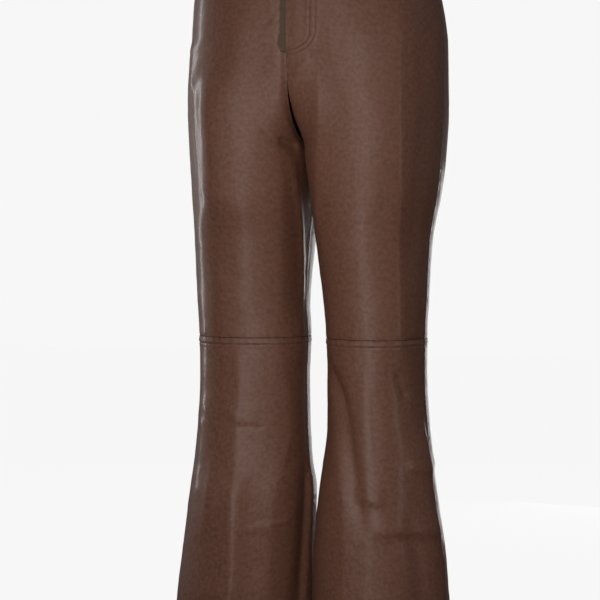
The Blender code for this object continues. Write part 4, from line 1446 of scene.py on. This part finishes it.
target = Vector((0, 0, (BAND_HEIGHT / 2 - TARGET_DROP) * MM))
right_way = Vector((math.cos(AZIMUTH), math.sin(AZIMUTH), 0))
back_way = direction(AZIMUTH, ELEVATION)
distance = MM_PER_PIXEL * MM * FRAME_PIXELS * LENS / SENSOR
target += right_way * (FRAME_PIXELS / 2 - MIDDLE_PIXEL) * MM_PER_PIXEL * MM
camera_data = bpy.data.cameras.new("camera")
camera_data.lens = LENS
camera_data.sensor_width = SENSOR
camera = bpy.data.objects.new("camera", camera_data)
camera.location = target + back_way * distance
camera.rotation_euler = back_way.to_track_quat("Z", "Y").to_euler()
bpy.context.scene.collection.objects.link(camera)
bpy.context.scene.camera = camera
print("camera", round(distance, 3), "m from the trousers")

# %% Floor, backdrop and lights
FLOOR_DROP = 1058.0
FLOOR_SIZE = 14
BACKDROP = "#f7f7f7"


def soft_light(name, turn, rise, away, height_drop, size, watts):
    """A rectangular lamp, turned from the camera's side by an angle, aimed at one level."""
    lamp = bpy.data.lights.new(name, "AREA")
    lamp.shape = "RECTANGLE"
    lamp.size, lamp.size_y = size
    lamp.energy = watts
    made = bpy.data.objects.new(name, lamp)
    way = direction(AZIMUTH + math.radians(turn), math.radians(rise))
    made.location = Vector((0, 0, (BAND_HEIGHT / 2 - height_drop) * MM)) + way * away
    made.rotation_euler = way.to_track_quat("Z", "Y").to_euler()
    made.visible_camera = False
    bpy.context.scene.collection.objects.link(made)
    return made


# name, turn from the camera to the right and rise in degrees, metres away, drop of the level
# aimed at in millimetres, width and height in metres, watts
soft_light("key_centre", -13, 0, 0.75, 770, (0.20, 0.40), 0.35)
soft_light("key_middle", -13, 5, 0.76, 410, (0.50, 0.90), 1.9)
soft_light("key_wide", -13, 5, 0.77, 410, (1.00, 1.00), 1.8)
soft_light("fill_softbox", 0, 8, 2.4, 420, (1.4, 1.2), 4)
soft_light("side_softbox", 57, 5, 2.2, 400, (0.25, 1.2), 3.4)
soft_light("left_strip", -124, 0, 1.6, 184, (0.08, 1.07), 8.0)
soft_light("back_softbox", 180, 12, 2.4, 420, (1.6, 1.6), 9)
soft_light("right_strip", 156, 0, 1.9, 775, (0.6, 0.95), 8)
print("lamps:", ", ".join(lamp.name for lamp in bpy.data.lights))

bpy.ops.mesh.primitive_plane_add(size=FLOOR_SIZE, location=(0, 0, (BAND_HEIGHT / 2 - FLOOR_DROP) * MM))
floor = bpy.context.object
floor.name = "studio_floor"
# Nearly black in itself, and glowing pale for the camera alone.
material, tree, shader = new_material("matt_white_floor")
shader.inputs["Base Color"].default_value = (0.02, 0.02, 0.02, 1)
shader.inputs["Roughness"].default_value = 1.0
shader.inputs["Specular IOR Level"].default_value = 0.0
shader.inputs["Emission Color"].default_value = linear(BACKDROP)
direct = add(tree, "ShaderNodeLightPath").outputs["Is Camera Ray"]
lit = add(tree, "ShaderNodeMath", {"operation": "MULTIPLY"}, {0: direct, 1: 0.99}).outputs[0]
tree.links.new(lit, shader.inputs["Emission Strength"])
floor.data.materials.append(material)

world = bpy.data.worlds.new("studio")
world.use_nodes = True
bpy.context.scene.world = world
tree = world.node_tree
tree.nodes.clear()
seen = add(tree, "ShaderNodeBackground", None, {"Color": linear(BACKDROP), "Strength": 1.0})
room = add(tree, "ShaderNodeBackground", None, {"Color": linear("#fbfaf8"), "Strength": 0.14})
direct = add(tree, "ShaderNodeLightPath")
both = add(tree, "ShaderNodeMixShader", None, {
    0: direct.outputs["Is Camera Ray"], 1: room.outputs[0], 2: seen.outputs[0],
})
add(tree, "ShaderNodeOutputWorld", None, {"Surface": both.outputs[0]})
bpy.context.scene.view_settings.view_transform = "Standard"

# %% [markdown]
# Each piece rides on the root body, and the imported node that it stands for, if any, is hidden.

# %% What each piece stands for
for (face, level, side), (piece, drop, across) in pieces.items():
    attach(piece, "root")
    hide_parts(f"{face}_{level}_{side}")
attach(band, "root")
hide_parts("waistband")
for piece, node, slot in (
    (zip_tape, "zip", "zip_tape"), (zip_teeth, None, "button_metal"),
    (zip_slider, "zip_slider", "button_metal"), (button, "button", "button_metal"),
):
    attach(piece, "root")
    if node:
        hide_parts(node)
for piece in sewing:
    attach(piece, "root")
